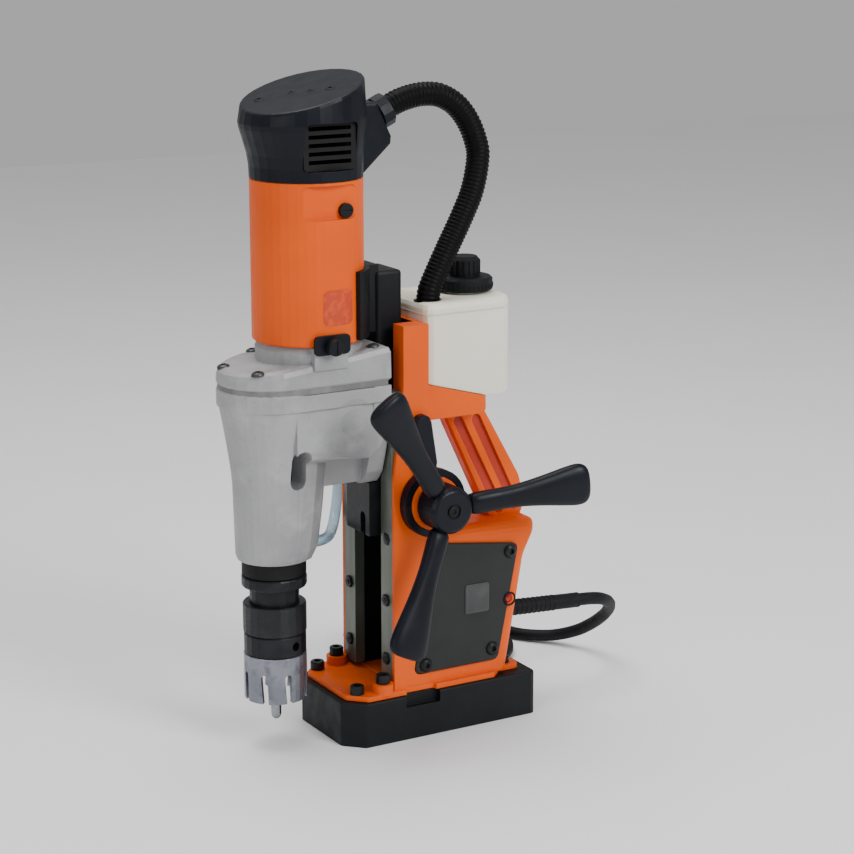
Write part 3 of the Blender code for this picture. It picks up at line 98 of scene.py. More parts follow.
class Finish:
    """A Principled material whose colour, roughness and relief come from procedural layers."""

    def __init__(self, name, colour, roughness, metallic=0.0, **sockets):
        self.material = bpy.data.materials.new(name)
        self.material.use_nodes = True
        self.tree = self.material.node_tree
        self.shader = self.tree.nodes["Principled BSDF"]
        self.place = self.add("ShaderNodeTexCoord").outputs["Object"]
        self.set(self.shader, "Base Color", (*colour, 1.0))
        self.set(self.shader, "Roughness", roughness)
        self.set(self.shader, "Metallic", metallic)
        for socket, value in sockets.items():
            self.set(self.shader, socket.replace("_", " "), value)
        self.colour = None
        self.base = colour
        self.roughness = roughness
        self.normal = None

    def add(self, kind, **settings):
        node = self.tree.nodes.new(kind)
        for key, value in settings.items():
            setattr(node, key, value)
        return node

    def set(self, node, socket, value):
        node.inputs[socket].default_value = value

    def link(self, output, node, socket):
        self.tree.links.new(output, node.inputs[socket])

    def noise(self, scale, detail, stretch=(1, 1, 1)):
        """A noise in the object's own space, stretched along its axes."""
        mapping = self.add("ShaderNodeMapping")
        mapping.inputs["Scale"].default_value = stretch
        self.link(self.place, mapping, "Vector")
        node = self.add("ShaderNodeTexNoise")
        self.set(node, "Scale", scale)
        self.set(node, "Detail", detail)
        self.link(mapping.outputs["Vector"], node, "Vector")
        return node.outputs["Fac"]

    def spread(self, value, low, high, to_low=0.0, to_high=1.0):
        """The value with low to high stretched over to_low to to_high."""
        node = self.add("ShaderNodeMapRange")
        self.link(value, node, "Value")
        limits = {"From Min": low, "From Max": high, "To Min": to_low, "To Max": to_high}
        for socket, number in limits.items():
            self.set(node, socket, number)
        return node.outputs["Result"]

    def math(self, operation, first, second):
        """A Math node over two numbers or outputs."""
        node = self.add("ShaderNodeMath", operation=operation)
        for index, value in enumerate((first, second)):
            if isinstance(value, (int, float)):
                self.set(node, index, value)
            else:
                self.link(value, node, index)
        return node.outputs["Value"]

    def tint(self, factor, colour):
        """Lays colour over what is there so far, where factor says."""
        mix = self.add("ShaderNodeMix", data_type="RGBA")
        self.link(factor, mix, MIX_FACTOR)
        if self.colour is None:
            self.set(mix, MIX_BELOW, (*self.base, 1.0))
        else:
            self.link(self.colour, mix, MIX_BELOW)
        self.set(mix, MIX_ABOVE, (*colour, 1.0))
        self.colour = mix.outputs[MIX_RESULT]
        self.link(self.colour, self.shader, "Base Color")
        return self

    def cloud(self, colour, scale, low=0.45, high=0.7, detail=4.0, stretch=(1, 1, 1)):
        """A soft patchy change of colour."""
        return self.tint(self.spread(self.noise(scale, detail, stretch), low, high), colour)

    def vary(self, scale, amount, stretch=(1, 1, 1)):
        """Roughness that wanders about its value."""
        smoothest, roughest = self.roughness - amount, self.roughness + amount
        wander = self.spread(self.noise(scale, 4.0, stretch), 0.3, 0.7, smoothest, roughest)
        self.link(wander, self.shader, "Roughness")
        return self

    def relief(self, height, distance, strength):
        """Bump from a height, over whatever relief is there so far."""
        node = self.add("ShaderNodeBump")
        self.set(node, "Strength", strength)
        self.set(node, "Distance", distance)
        self.link(height, node, "Height")
        if self.normal is not None:
            self.link(self.normal, node, "Normal")
        self.normal = node.outputs["Normal"]
        self.link(self.normal, self.shader, "Normal")
        return self

    def grain(self, scale, distance, strength, stretch=(1, 1, 1)):
        """A fine relief from noise; distance is in metres."""
        return self.relief(self.noise(scale, 2.0, stretch), distance, strength)

    def soften(self, radius, wear=None, amount=0.6):
        """Rounds the edges in the shading by radius mm and, with wear, shows a worn colour along them."""
        round_edge = self.add("ShaderNodeBevel", samples=4)
        self.set(round_edge, "Radius", radius * MM)
        self.normal = round_edge.outputs["Normal"]
        self.link(self.normal, self.shader, "Normal")
        if wear is not None:
            flat = self.add("ShaderNodeNewGeometry").outputs["Normal"]
            dot = self.add("ShaderNodeVectorMath", operation="DOT_PRODUCT")
            self.link(self.normal, dot, 0)
            self.link(flat, dot, 1)
            edge = self.spread(dot.outputs["Value"], 0.985, 0.86)
            patches = self.spread(self.noise(160, 5.0), 0.42, 0.62, 0.15, amount)
            self.tint(self.math("MULTIPLY", edge, patches), wear)
        return self


def make_finishes():
    """One material for each of the record's material slots."""
    made = {}
    f = Finish("orange_powder_coat", (0.8, 0.098, 0.0), 0.42, Specular_IOR_Level=0.2)
    f.soften(1.0, (0.9, 0.22, 0.01), 0.6).cloud((0.7, 0.078, 0.0), 14, 0.45, 0.8).vary(60, 0.05)
    f.grain(900, 0.00006, 0.5)
    made["orange_paint"] = f
    f = Finish("black_powder_coat", (0.0042, 0.0052, 0.0072), 0.5, Specular_IOR_Level=0.2)
    f.soften(1.0, (0.035, 0.037, 0.043), 0.7).cloud((0.0075, 0.0084, 0.0105), 18, 0.45, 0.75).vary(90, 0.08)
    f.grain(1300, 0.00009, 0.7)
    made["black_paint"] = f
    f = Finish("blasted_alloy", (0.36, 0.362, 0.37), 0.52, 0.25)
    f.soften(1.2, (0.62, 0.63, 0.65), 0.5)
    f.cloud((0.22, 0.222, 0.23), 15, 0.42, 0.74, 5.0).cloud((0.46, 0.462, 0.47), 30, 0.5, 0.75)
    f.cloud((0.25, 0.25, 0.255), 420, 0.62, 0.78).vary(45, 0.1)
    f.grain(650, 0.00012, 0.6).grain(60, 0.0006, 0.25)
    made["grey_alloy"] = f
    f = Finish("moulded_plastic", (0.0028, 0.004, 0.0078), 0.4, Specular_IOR_Level=0.2)
    f.soften(0.8, (0.03, 0.034, 0.044), 0.5).cloud((0.0048, 0.0066, 0.0118), 22, 0.45, 0.75).vary(70, 0.07)
    f.grain(1500, 0.00006, 0.6)
    made["dark_plastic"] = f
    f = Finish("panel_enamel", (0.0175, 0.019, 0.0188), 0.42, Specular_IOR_Level=0.25)
    f.soften(0.7, (0.11, 0.114, 0.118), 0.6).cloud((0.0125, 0.0138, 0.0136), 20, 0.42, 0.75).vary(50, 0.06)
    f.grain(1100, 0.00005, 0.5)
    made["panel_grey"] = f
    f = Finish("oiled_gib_steel", (0.125, 0.145, 0.115), 0.4, 0.55)
    f.soften(0.5, (0.35, 0.36, 0.33), 0.5).cloud((0.16, 0.175, 0.15), 30, 0.4, 0.75)
    f.vary(200, 0.1, (1, 1, 0.08)).grain(700, 0.00005, 0.6, stretch=(1, 1, 0.05))
    made["gib_steel"] = f
    f = Finish("ground_steel", (0.30, 0.31, 0.335), 0.3, 1.0)
    f.soften(0.4, (0.6, 0.61, 0.64), 0.6).cloud((0.17, 0.175, 0.195), 55, 0.45, 0.8)
    f.vary(260, 0.1, (1, 1, 6)).grain(900, 0.00004, 0.6, stretch=(0.2, 0.2, 3))
    made["steel"] = f
    f = Finish("black_oxide", (0.009, 0.0102, 0.0125), 0.4, 0.35, Specular_IOR_Level=0.3)
    f.soften(0.6, (0.09, 0.094, 0.105), 0.6).cloud((0.019, 0.02, 0.0235), 60, 0.45, 0.75)
    f.vary(240, 0.09, (1, 1, 5)).grain(1000, 0.00003, 0.6, stretch=(0.3, 0.3, 3))
    made["black_steel"] = f
    f = Finish("turned_bronze", (0.5, 0.31, 0.11), 0.34, 0.95)
    f.soften(0.4).cloud((0.33, 0.19, 0.07), 90, 0.45, 0.75).vary(300, 0.1).grain(1400, 0.00004, 0.5)
    made["bronze"] = f
    f = Finish("cast_resin", (0.26, 0.19, 0.085), 0.38)
    f.cloud((0.18, 0.13, 0.06), 35, 0.4, 0.75).vary(40, 0.08).grain(250, 0.0002, 0.4)
    made["resin"] = f
    f = Finish(
        "tank_polythene",
        (0.83, 0.815, 0.68),
        0.42,
        Subsurface_Weight=0.35,
        Subsurface_Radius=(0.012, 0.011, 0.008),
        Subsurface_Scale=0.6,
        Specular_IOR_Level=0.4,
    )
    f.soften(1.5).cloud((0.76, 0.74, 0.58), 12, 0.4, 0.8).vary(30, 0.06).grain(180, 0.0002, 0.25)
    made["tank_white"] = f
    f = Finish("matt_rubber", (0.004, 0.0045, 0.006), 0.6, Specular_IOR_Level=0.2)
    f.cloud((0.0075, 0.0082, 0.0104), 40, 0.45, 0.75).vary(120, 0.08).grain(1500, 0.00007, 0.7)
    made["rubber"] = f
    f = Finish("pale_hose", (0.55, 0.71, 0.8), 0.16, Transmission_Weight=0.65, IOR=1.42)
    f.cloud((0.42, 0.6, 0.72), 60, 0.45, 0.75).vary(80, 0.04)
    made["hose_blue"] = f
    f = Finish("lacquered_board", (0.02, 0.16, 0.06), 0.3)
    f.cloud((0.35, 0.24, 0.06), 500, 0.56, 0.6).vary(80, 0.05)
    made["board_green"] = f
    for slot, colour in (("red_plastic", (0.5, 0.012, 0.008)), ("green_plastic", (0.02, 0.3, 0.045))):
        f = Finish(slot.replace("plastic", "button"), colour, 0.3, Coat_Weight=0.2)
        f.soften(0.6).cloud(tuple(c * 0.72 for c in colour), 90, 0.45, 0.8)
        f.vary(90, 0.05).grain(1500, 0.00004, 0.5)
        made[slot] = f
    return {slot: finish.material for slot, finish in made.items()}


FINISHES = make_finishes()


def special(name, colour, roughness, **sockets):
    """A finish for one kind of detail, with lighter clouds of its own colour."""
    f = Finish(name, colour, roughness, **sockets)
    f.cloud(tuple(c * 1.6 for c in colour), 70, 0.45, 0.75).vary(120, 0.06).grain(1200, 0.00005, 0.5)
    return f.material


SHADOW_BLACK = special("slot_black", (0.0025, 0.0026, 0.003), 0.6, Specular_IOR_Level=0.25)
LAMP_RED = special("lamp_lens", (0.32, 0.006, 0.004), 0.12)


KNURL_RADIUS = 28.0
KNURL_PITCH = 2.4


def knurled():
    """Black oxide with a diamond knurl about the spindle."""
    f = Finish("knurled_oxide", (0.012, 0.0135, 0.016), 0.38, 0.5)
    f.cloud((0.02, 0.022, 0.026), 60, 0.45, 0.75)
    split = f.add("ShaderNodeSeparateXYZ")
    f.link(f.place, split, "Vector")
    across = f.math("SUBTRACT", split.outputs["X"], SPINDLE_X * MM)
    turn = f.math("MULTIPLY", f.math("ARCTAN2", split.outputs["Y"], across), KNURL_RADIUS * MM)
    for lean in (1.0, -1.0):
        rise = f.math("MULTIPLY", split.outputs["Z"], lean)
        phase = f.math("MULTIPLY", f.math("ADD", turn, rise), 2 * math.pi / (KNURL_PITCH * MM))
        f.relief(f.math("SINE", phase, 0.0), 0.00022, 0.55)
    return f.material


def cutter_steel():
    """Bluish steel for the cutter, stained in patches, with turning marks round the axis."""
    f = Finish("cutter_steel", (0.19, 0.2, 0.235), 0.36, 0.8)
    f.soften(0.5, (0.46, 0.47, 0.52), 0.6).cloud((0.28, 0.29, 0.33), 45, 0.4, 0.75)
    f.cloud((0.11, 0.115, 0.14), 90, 0.5, 0.75).vary(200, 0.1, (1, 1, 6))
    f.grain(1500, 0.00004, 0.7, stretch=(0.15, 0.15, 3))
    return f.material


def paint_cad_nodes():
    """Gives every CAD node its slot's material, and a few of them one of their own."""
    by_node = {part["node"]: part["material_slot"] for part in frame["record"]["subparts"]}
    special_nodes = {
        "chuck_sleeve": knurled(),
        "annular_cutter": cutter_steel(),
        "power_lamp": LAMP_RED,
        "vent_grille_right": SHADOW_BLACK,
        "vent_grille_left": SHADOW_BLACK,
    }
    for name, node in NODES.items():
        node.data.materials.clear()
        node.data.materials.append(special_nodes.get(name, FINISHES[by_node[name]]))


paint_cad_nodes()


# Mesh helpers -------------------------------------------------------------------------------------
def place(name, bm, body, slot, material=None, smooth=35):
    """Turns a bmesh in millimetres into a piece that rides on a body."""
    bmesh.ops.recalc_face_normals(bm, faces=bm.faces)
    for vert in bm.verts:
        vert.co *= MM
    mesh = bpy.data.meshes.new(name)
    bm.to_mesh(mesh)
    bm.free()
    obj = bpy.data.objects.new(name, mesh)
    bpy.context.scene.collection.objects.link(obj)
    mesh.materials.append(material or FINISHES[slot])
    mesh.shade_smooth()
    mesh.set_sharp_from_angle(angle=math.radians(smooth))
    if body:
        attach(obj, body)
    return obj


def skin(bm, rings, closed=False):
    """Faces between rings of equal point counts, with end faces or, when closed, joined end to end."""
    made = [[bm.verts.new(p) for p in ring] for ring in rings]
    pairs = list(zip(made, made[1:])) + ([(made[-1], made[0])] if closed else [])
    for lower, upper in pairs:
        for i in range(len(lower)):
            j = (i + 1) % len(lower)
            bm.faces.new((lower[i], lower[j], upper[j], upper[i]))
    if not closed:
        bm.faces.new(made[0])
        bm.faces.new(list(reversed(made[-1])))


def circle(count):
    """The cosine and sine of count even angles."""
    angles = (2 * math.pi * k / count for k in range(count))
    return [(math.cos(angle), math.sin(angle)) for angle in angles]


def facing(direction, at):
    """The matrix that turns +Z to a direction and moves the origin to a place."""
    turn = Vector((0, 0, 1)).rotation_difference(Vector(direction).normalized())
    return Matrix.Translation(at) @ turn.to_matrix().to_4x4()


def hexed(radius, angle):
    """The radius of a hexagon of that half width at an angle."""
    local = (angle + math.pi / 6) % (math.pi / 3) - math.pi / 6
    return radius / math.cos(local)


def turned(bm, profile, direction, at, sides=24):
    """A revolved shape from (radius, level) points; a third entry, True, makes that ring a hexagon."""
    matrix = facing(direction, at)
    rings = []
    for radius, level, *is_hexagon in profile:
        ring = []
        for k in range(sides):
            angle = 2 * math.pi * k / sides
            r = hexed(radius, angle) if is_hexagon else radius
            ring.append(matrix @ Vector((r * math.cos(angle), r * math.sin(angle), level)))
        rings.append(ring)
    skin(bm, rings)


def sweep(route, radii, sides):
    """A tube along a route, its radius given at every point, with rings that don't twist."""
    last = len(route) - 1
    side = (route[1] - route[0]).normalized().orthogonal().normalized()
    rings = []
    for index, here in enumerate(route):
        ahead = (route[min(index + 1, last)] - route[max(index - 1, 0)]).normalized()
        side = (side - ahead * side.dot(ahead)).normalized()
        up = ahead.cross(side)
        rings.append([here + (side * c + up * s) * radii[index] for c, s in circle(sides)])
    bm = bmesh.new()
    skin(bm, rings)
    return bm


CURVE_STEPS = 40  # straight steps between two given points of a route


def smooth_route(points, spacing):
    """Points about every spacing along a Catmull-Rom curve through points."""
    guide = [Vector(p) for p in points]
    guide = [2 * guide[0] - guide[1], *guide, 2 * guide[-1] - guide[-2]]
    fine = []
    for a, b, c, d in zip(guide, guide[1:], guide[2:], guide[3:]):
        for step in range(CURVE_STEPS):
            t = step / CURVE_STEPS
            bend, twist = 2 * a - 5 * b + 4 * c - d, 3 * b - a - 3 * c + d
            fine.append(0.5 * (2 * b + (c - a) * t + bend * t**2 + twist * t**3))
    fine.append(guide[-2])
    total = route_length(fine)
    count = max(4, round(total / spacing))
    route, walked, wanted = [fine[0]], 0.0, total / count
    for p, q in zip(fine, fine[1:]):
        walked += (q - p).length
        if walked >= wanted - 1e-6 and len(route) < count:
            route.append(q)
            wanted += total / count
    route.append(fine[-1])
    return route


def route_length(route):
    return sum((q - p).length for p, q in zip(route, route[1:]))


# Mains cord ---------------------------------------------------------------------------------------
CORD_DIAMETER = 12.0
CORD_ROUTE = (
    (167.2, -18, 87.55), (182, -17.8, 86.4), (201, -11, 81), (220, 4, 69), (232, 26, 52), (235, 51, 34),
    (231, 75, 19), (219, 97, 9.5), (204, 115, 6.7), (193, 130, 6.4),
)
CORD_TAIL = (
    (24.9, 173, 20.5), (25.9, 158, 25), (31.5, 144.5, 29.6), (41.5, 133.5, 30.6), (54, 126.5, 26),
    (64, 124.3, 21), (72.5, 124, 19.1),
)
CORD_SPACING = 6.0
COIL_CENTRE = (98.0, 140.0)
COIL_ENTRY = (90.5, 6.4)  # radius and level at which the cord meets the coil
COIL_TURNS = ((78.0, 6.4), (66.0, 6.4), (54.0, 6.4), (54.0, 18.4), (66.0, 18.4), (78.0, 18.4))
COIL_STEP = 12.0  # degrees
COIL_END = 148.0  # degrees into the last turn
JOG = (4.0, 50.0)  # degrees of each turn over which it steps to the next radius


def ease(t):
    t = min(1.0, max(0.0, t))
    return t * t * (3 - 2 * t)


def coil_route():
    """From the end of the free cord round the coil's turns to where the lead leaves for the plug."""
    points = []
    before = COIL_ENTRY
    for radius, level in COIL_TURNS:
        for step in range(round(360 / COIL_STEP)):
            angle = JOG[0] + COIL_STEP * step
            if (radius, level) == COIL_TURNS[-1] and angle > COIL_END:
                break
            share = ease((angle - JOG[0]) / (JOG[1] - JOG[0]))
            r = before[0] + (radius - before[0]) * share
            z = before[1] + (level - before[1]) * share
            turn = math.radians(angle)
            points.append((COIL_CENTRE[0] + r * math.cos(turn), COIL_CENTRE[1] + r * math.sin(turn), z))
        before = (radius, level)
    return points


def make_cord():
    """The lead: free from the strain relief down to the floor, then coiled behind the machine."""
    route = smooth_route([*CORD_ROUTE, *coil_route(), *CORD_TAIL], CORD_SPACING)
    curve = bpy.data.curves.new("mains_lead", "CURVE")
    curve.dimensions = "3D"
    curve.bevel_depth = CORD_DIAMETER / 2 * MM
    curve.bevel_resolution = 3
    curve.use_fill_caps = True
    spline = curve.splines.new("POLY")
    spline.points.add(len(route) - 1)
    for point, where in zip(spline.points, route):
        point.co = (*(where * MM), 1.0)
    lead = bpy.data.objects.new("mains_lead", curve)
    bpy.context.scene.collection.objects.link(lead)
    curve.materials.append(FINISHES["rubber"])
    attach(lead, "stand")
    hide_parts("mains_cord", "cord_coil")
    tie = make_coil_tie()
    grips = make_plug_details()
    ribs = make_strain_relief_ribs()


TIE_AT = (285.0, 66.0)  # degrees round the coil, and radius
TIE_MIDDLE = 12.5


def make_coil_tie():
    """A hook-and-loop tie round the coil's section."""
    angle = math.radians(TIE_AT[0])
    outward = Vector((math.cos(angle), math.sin(angle), 0))
    along = Vector((-math.sin(angle), math.cos(angle), 0))
    centre = Vector((*COIL_CENTRE, 0)) + outward * TIE_AT[1]
    half = [(18.8, 0.4), (19.6, 6), (19.6, 18.5), (18, 24.6)]
    corners = [(-18.8, 0.4), *half, *[(-a, z) for a, z in reversed(half[1:])]]
    rings = []
    for offset, inset in ((-8, 0.0), (8, 0.0), (8, 1.4), (-8, 1.4)):
        scale = 1 - inset / 22
        ring = []
        for a, z in corners:
            lift = Vector((0, 0, TIE_MIDDLE + (z - TIE_MIDDLE) * scale))
            ring.append(centre + outward * (a * scale) + along * offset + lift)
        rings.append(ring)
    bm = bmesh.new()
    skin(bm, rings, closed=True)
    return place("coil_tie", bm, "stand", "rubber", SHADOW_BLACK)


def make_plug_details():
    """Grip ribs round the plug's neck, and sleeves on its two pins."""
    bm = bmesh.new()
    y, z = COIL_CENTRE[1] - 16, 19.0
    for number in range(4):
        x = COIL_CENTRE[0] - 22 + number * 4.4
        r = 9.6 + number * 1.45
        rib = [(r - 1.2, 0), (r + 0.5, 0.5), (r + 0.7, 1.3), (r + 0.3, 2.1), (r - 1, 2.6)]
        turned(bm, rib, (1, 0, 0), (x, y, z))
    for side in (-1, 1):
        at = (COIL_CENTRE[0] + 24, y + side * 9.5, z)
        turned(bm, [(2.5, 0), (2.5, 11.6), (2.1, 12.3), (0.4, 12.4)], (1, 0, 0), at, 16)
    return place("plug_ribs", bm, "stand", "rubber", special("plug_grip", (0.02, 0.02, 0.023), 0.5))


def make_strain_relief_ribs():
    """Ribs round the strain relief near the housing, and the rolled mouth that the cord leaves by."""
    bm = bmesh.new()
    heading = Vector(STRAIN_RELIEF_HEADING).normalized()
    start = Vector(STRAIN_RELIEF_AT)
    for number in range(9):
        reach = 16 + number * 5.2
        r = 7.35 - 0.02 * number
        rib = [(r - 0.8, 0), (r + 0.35, 0.3), (r + 0.5, 1.2), (r + 0.35, 2.1), (r - 0.8, 2.4)]
        turned(bm, rib, heading, start + heading * reach)
    mouth = [(5.0, 84.6), (6.9, 84.6), (7.2, 85.4), (7.2, 87.6), (6.7, 88.4), (5.0, 88.4)]
    turned(bm, mouth, heading, start, 32)
    return place("strain_relief_ribs", bm, "stand", "rubber")


make_cord()


# Conduit and coolant hose -------------------------------------------------------------------------
CONDUIT_ROUTE = (
    (-25.8, 0, 560.1), (-16, -0.5, 564.7), (-2, -1.5, 568.5), (11, -3.4, 569.8), (24, -5, 567.8),
    (38, -7, 559.5), (49.1, -8.8, 545.5), (56, -11.1, 528), (57.2, -13.5, 512), (49.7, -16.6, 485),
    (36.6, -18.6, 460), (22.8, -20, 437), (11, -20.8, 416), (3.6, -21, 401), (1.5, -21, 388.8),
)
CORRUGATION = 3.5  # pitch along the conduit
CORRUGATION_RINGS = 5  # rings of the mesh in one pitch
COOLANT_ROUTE = (
    (9.3, 50, 316), (3, 50.6, 316), (-5, 53, 314.5), (-14, 55.8, 310), (-25, 57, 300), (-35, 57.5, 283),
    (-42, 57.5, 258), (-46, 57.5, 230), (-49, 56, 203), (-57, 47, 185), (-67, 34, 178), (-78, 21, 176.2),
    (-89, 14.6, 176), (-99.8, 14, 176),
)


def make_conduit():
    """A corrugated conduit swept along its route."""
    route = smooth_route(CONDUIT_ROUTE, CORRUGATION / CORRUGATION_RINGS)
    turns = (2 * math.pi * index / CORRUGATION_RINGS for index in range(len(route)))
    radii = [10.35 + 0.42 * math.sin(turn) for turn in turns]
    black = special("conduit_black", (0.0008, 0.0009, 0.0012), 0.5, Specular_IOR_Level=0.12)
    conduit = place("conduit", sweep(route, radii, 24), None, "rubber", black)
    conduit.data.set_sharp_from_angle(angle=math.radians(80))
    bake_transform(conduit)
    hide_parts("conduit_hose")


def make_coolant_hose():
    """The pale hose from the tank round the column to the back of the gearbox's nose."""
    route = smooth_route(COOLANT_ROUTE, 4.0)
    tube = place("coolant_tube", sweep(route, [5.0] * len(route), 20), None, "hose_blue")
    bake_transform(tube)
    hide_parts("coolant_hose")


make_conduit()
make_coolant_hose()


# Screws and bolts ---------------------------------------------------------------------------------
def cap_screw(bm, at, direction, radius, height):
    """A socket cap screw head with a hexagon socket."""
    r, h, key = radius, height, radius * 0.46
    profile = [
        (0.4, h * 0.45, True), (key, h * 0.45, True), (key, h - 0.5, True), (key * 1.12, h, True),
        (r * 0.86, h), (r, h - 0.8), (r, 0.0), (0.4, 0.0),
    ]
    turned(bm, profile, direction, at)


def button_screw(bm, at, direction, radius, height):
    """A low domed screw head with a hexagon socket."""
    r, h, key = radius, height, radius * 0.4
    profile = [
        (0.3, h * 0.2, True), (key, h * 0.2, True), (key, h, True), (r * 0.62, h), (r * 0.88, h * 0.72),
        (r, h * 0.25), (r, -0.4), (0.3, -0.4),
    ]
    turned(bm, profile, direction, at)


def nut_and_stud(bm, at, direction, proud):
    """A lock nut on a grub screw that stands proud by that much in all."""
    r, h = 5.0, proud
    nut = [(0.3, 0), (r, 0), (r, h * 0.58), (r * 0.9, h * 0.73), (0.3, h * 0.73)]
    turned(bm, [(*station, True) for station in nut], direction, at)
    stud = [
        (0.3, h * 0.5), (r * 0.5, h * 0.5), (r * 0.5, h * 0.88), (r * 0.42, h), (0.8, h), (0.8, h * 0.8),
        (0.3, h * 0.8),
    ]
    turned(bm, stud, direction, at, 16)


def lid_level(x, y):
    return LID_LEVEL + LID_SLOPE[0] * (x - LID_CENTRE) + LID_SLOPE[1] * y


def lid_normal():
    return Vector((-LID_SLOPE[0], -LID_SLOPE[1], 1)).normalized()


PANEL_SCREWS = ((71.7, 158.3), (53.1, 68.7), (-16.7, 64.9), (-1.5, 169.5))
CONTROL_SCREWS = ((6.5, 70.5), (60.5, 70.5), (6.5, 153.5), (60.5, 153.5))
GIB_SCREWS = ((-1, (183.5, 127.0, 72.4)), (1, (183.5, 126.0, 71.0)))  # side and levels
GIB_SCREW_Y = 34.25
LID_SCREWS = ((-140.7, 17.4), (-92.2, -19.7))
SMALL_LID_SCREWS = ((-116.3, 5.6), (-105.1, -8.1))
COVER_BOLTS = ((-180.3, 14.6), (-171.0, -33.0), (-140.2, 40.5), (-62.5, -37.5), (-62.5, 37.5))
COVER_SLOPE = 0.125
CARRIAGE_PASSES = 180.0  # gib nuts above this level have to be low


def make_screws():
    bm = bmesh.new()
    for x, z in PANEL_SCREWS:
        button_screw(bm, (x, PANEL_FACE, z), (0, -1, 0), 6.3, 3.2)
    place("panel_screws", bm, "stand", "black_steel")
    bm = bmesh.new()
    for x, z in CONTROL_SCREWS:
        button_screw(bm, (x, CONTROL_FACE, z), (0, 1, 0), 3.2, 1.8)
    place("control_screws", bm, "stand", "black_steel")
    bm = bmesh.new()
    for side, levels in GIB_SCREWS:
        for z in levels:
            proud = 1.4 if z > CARRIAGE_PASSES else 3.3
            nut_and_stud(bm, (GIB_FACE, side * GIB_SCREW_Y, z), (-1, 0, 0), proud)
    place("gib_screws", bm, "stand", "black_steel")
    bm = bmesh.new()
    for y in (-31, 31):
        cap_screw(bm, (76, y, 46.0), (0, 0, 1), 6.2, 6.0)
    place("casting_screws", bm, "stand", "black_steel")
    bm = bmesh.new()
    for places, radius, height in ((LID_SCREWS, 4.6, 0.9), (SMALL_LID_SCREWS, 3.2, 0.7)):
        for x, y in places:
            button_screw(bm, (x, y, lid_level(x, y) - 0.2), lid_normal(), radius, height)
    place("lid_screws", bm, "carriage", "black_steel", SHADOW_BLACK)
    bm = bmesh.new()
    for x, y in COVER_BOLTS:
        z = 360.0 + (x + 60.0) * COVER_SLOPE
        button_screw(bm, (x, y, z - 0.8), (-COVER_SLOPE, 0, 1), 5.7, 2.8)
    bolt_grey = special("bolt_grey", (0.07, 0.072, 0.078), 0.4, metallic=0.7)
    place("cover_bolts", bm, "carriage", "black_steel", bolt_grey)
    bm = bmesh.new()
    button_screw(bm, (FEED[0], HUB_FACE, FEED[1]), (0, -1, 0), 5.0, 1.0)
    place("hub_screw", bm, "feed", "black_steel", SHADOW_BLACK)


# Badges -------------------------------------------------------------------------------------------
PANEL_BADGE = (36.7, 119.3)
MOTOR_BADGE = (-101.0, 399.0)


def rounded_square(centre, half, radius, steps=4):
    """The outline of a rectangle with rounded corners, half its size given."""
    points = []
    for corner, (sx, sy) in enumerate(((1, 1), (-1, 1), (-1, -1), (1, -1))):
        for step in range(steps + 1):
            angle = math.pi / 2 * (corner + step / steps)
            x = centre[0] + sx * (half[0] - radius) + radius * math.cos(angle)
            y = centre[1] + sy * (half[1] - radius) + radius * math.sin(angle)
            points.append((x, y))
    return points


def make_panel_badge():
    """A plain square plate on the side panel, with a raised rim."""
    bm = bmesh.new()
    outline = rounded_square(PANEL_BADGE, (12.5, 13.5), 2.0)
    at_x, at_z = PANEL_BADGE
    rings = []
    for level, shrink in ((0.0, 1.0), (-0.7, 1.0), (-1.0, 0.96), (-1.0, 0.84), (-0.8, 0.8)):
        y = PANEL_FACE + level
        rings.append([(at_x + (x - at_x) * shrink, y, at_z + (z - at_z) * shrink) for x, z in outline])
    skin(bm, rings)
    place("panel_badge", bm, "stand", "panel_grey", special("badge_grey", (0.03, 0.031, 0.033), 0.36))


def make_motor_badge():
    """A plain square plate bent to the motor's round."""
    bm = bmesh.new()
    width, steps = 29.0, 12
    rings = []
    for step in range(steps + 1):
        x = MOTOR_BADGE[0] - 14.5 + width * step / steps
        angle = math.asin((x - MOTOR_X) / MOTOR_RADIUS)
        from_edge = min(step, steps - step, 2)
        outer = 15.0 - (2.6, 0.7, 0.0)[from_edge]
        proud = (0.2, 0.5, 0.55)[from_edge]
        ring = []
        for rise, z in ((-0.5, -outer), (proud, -outer), (proud, outer), (-0.5, outer)):
            r = MOTOR_RADIUS + rise
            ring.append((MOTOR_X + r * math.sin(angle), -r * math.cos(angle), MOTOR_BADGE[1] + z))
        rings.append(ring)
    skin(bm, rings)
    badge = Finish("motor_badge", (0.5, 0.035, 0.0), 0.45)
    badge.cloud((0.62, 0.06, 0.0), 160, 0.5, 0.62).vary(90, 0.06).grain(900, 0.00006, 0.5)
    place("motor_badge", bm, "carriage", "orange_paint", badge.material)


make_screws()
make_panel_badge()
make_motor_badge()


# Feed levers --------------------------------------------------------------------------------------
LEVER_REACH = 133.0
LEVER_STATIONS = (  # distance from the feed's axis, width, thickness
    (19.0, 17, 14), (26, 20.5, 15.6), (40, 19.8, 14.6), (52, 19.5, 14), (63, 20.6, 13.8), (74, 23, 14),
    (85, 26.4, 14.4), (96, 30.2, 15), (106, 34.2, 15.6), (115, 37.4, 16), (122, 39.2, 16), (127, 37.6, 15.2),
    (130.5, 33, 12.6), (132.4, 25, 8.6), (LEVER_REACH, 14, 4.4),
)
LEVER_ROOT_Y = -77.0
LEVER_DISH = 25.2  # how far the ends stand out past the root
ROUNDNESS = 0.84  # 1 makes an oval section, less makes it squarer


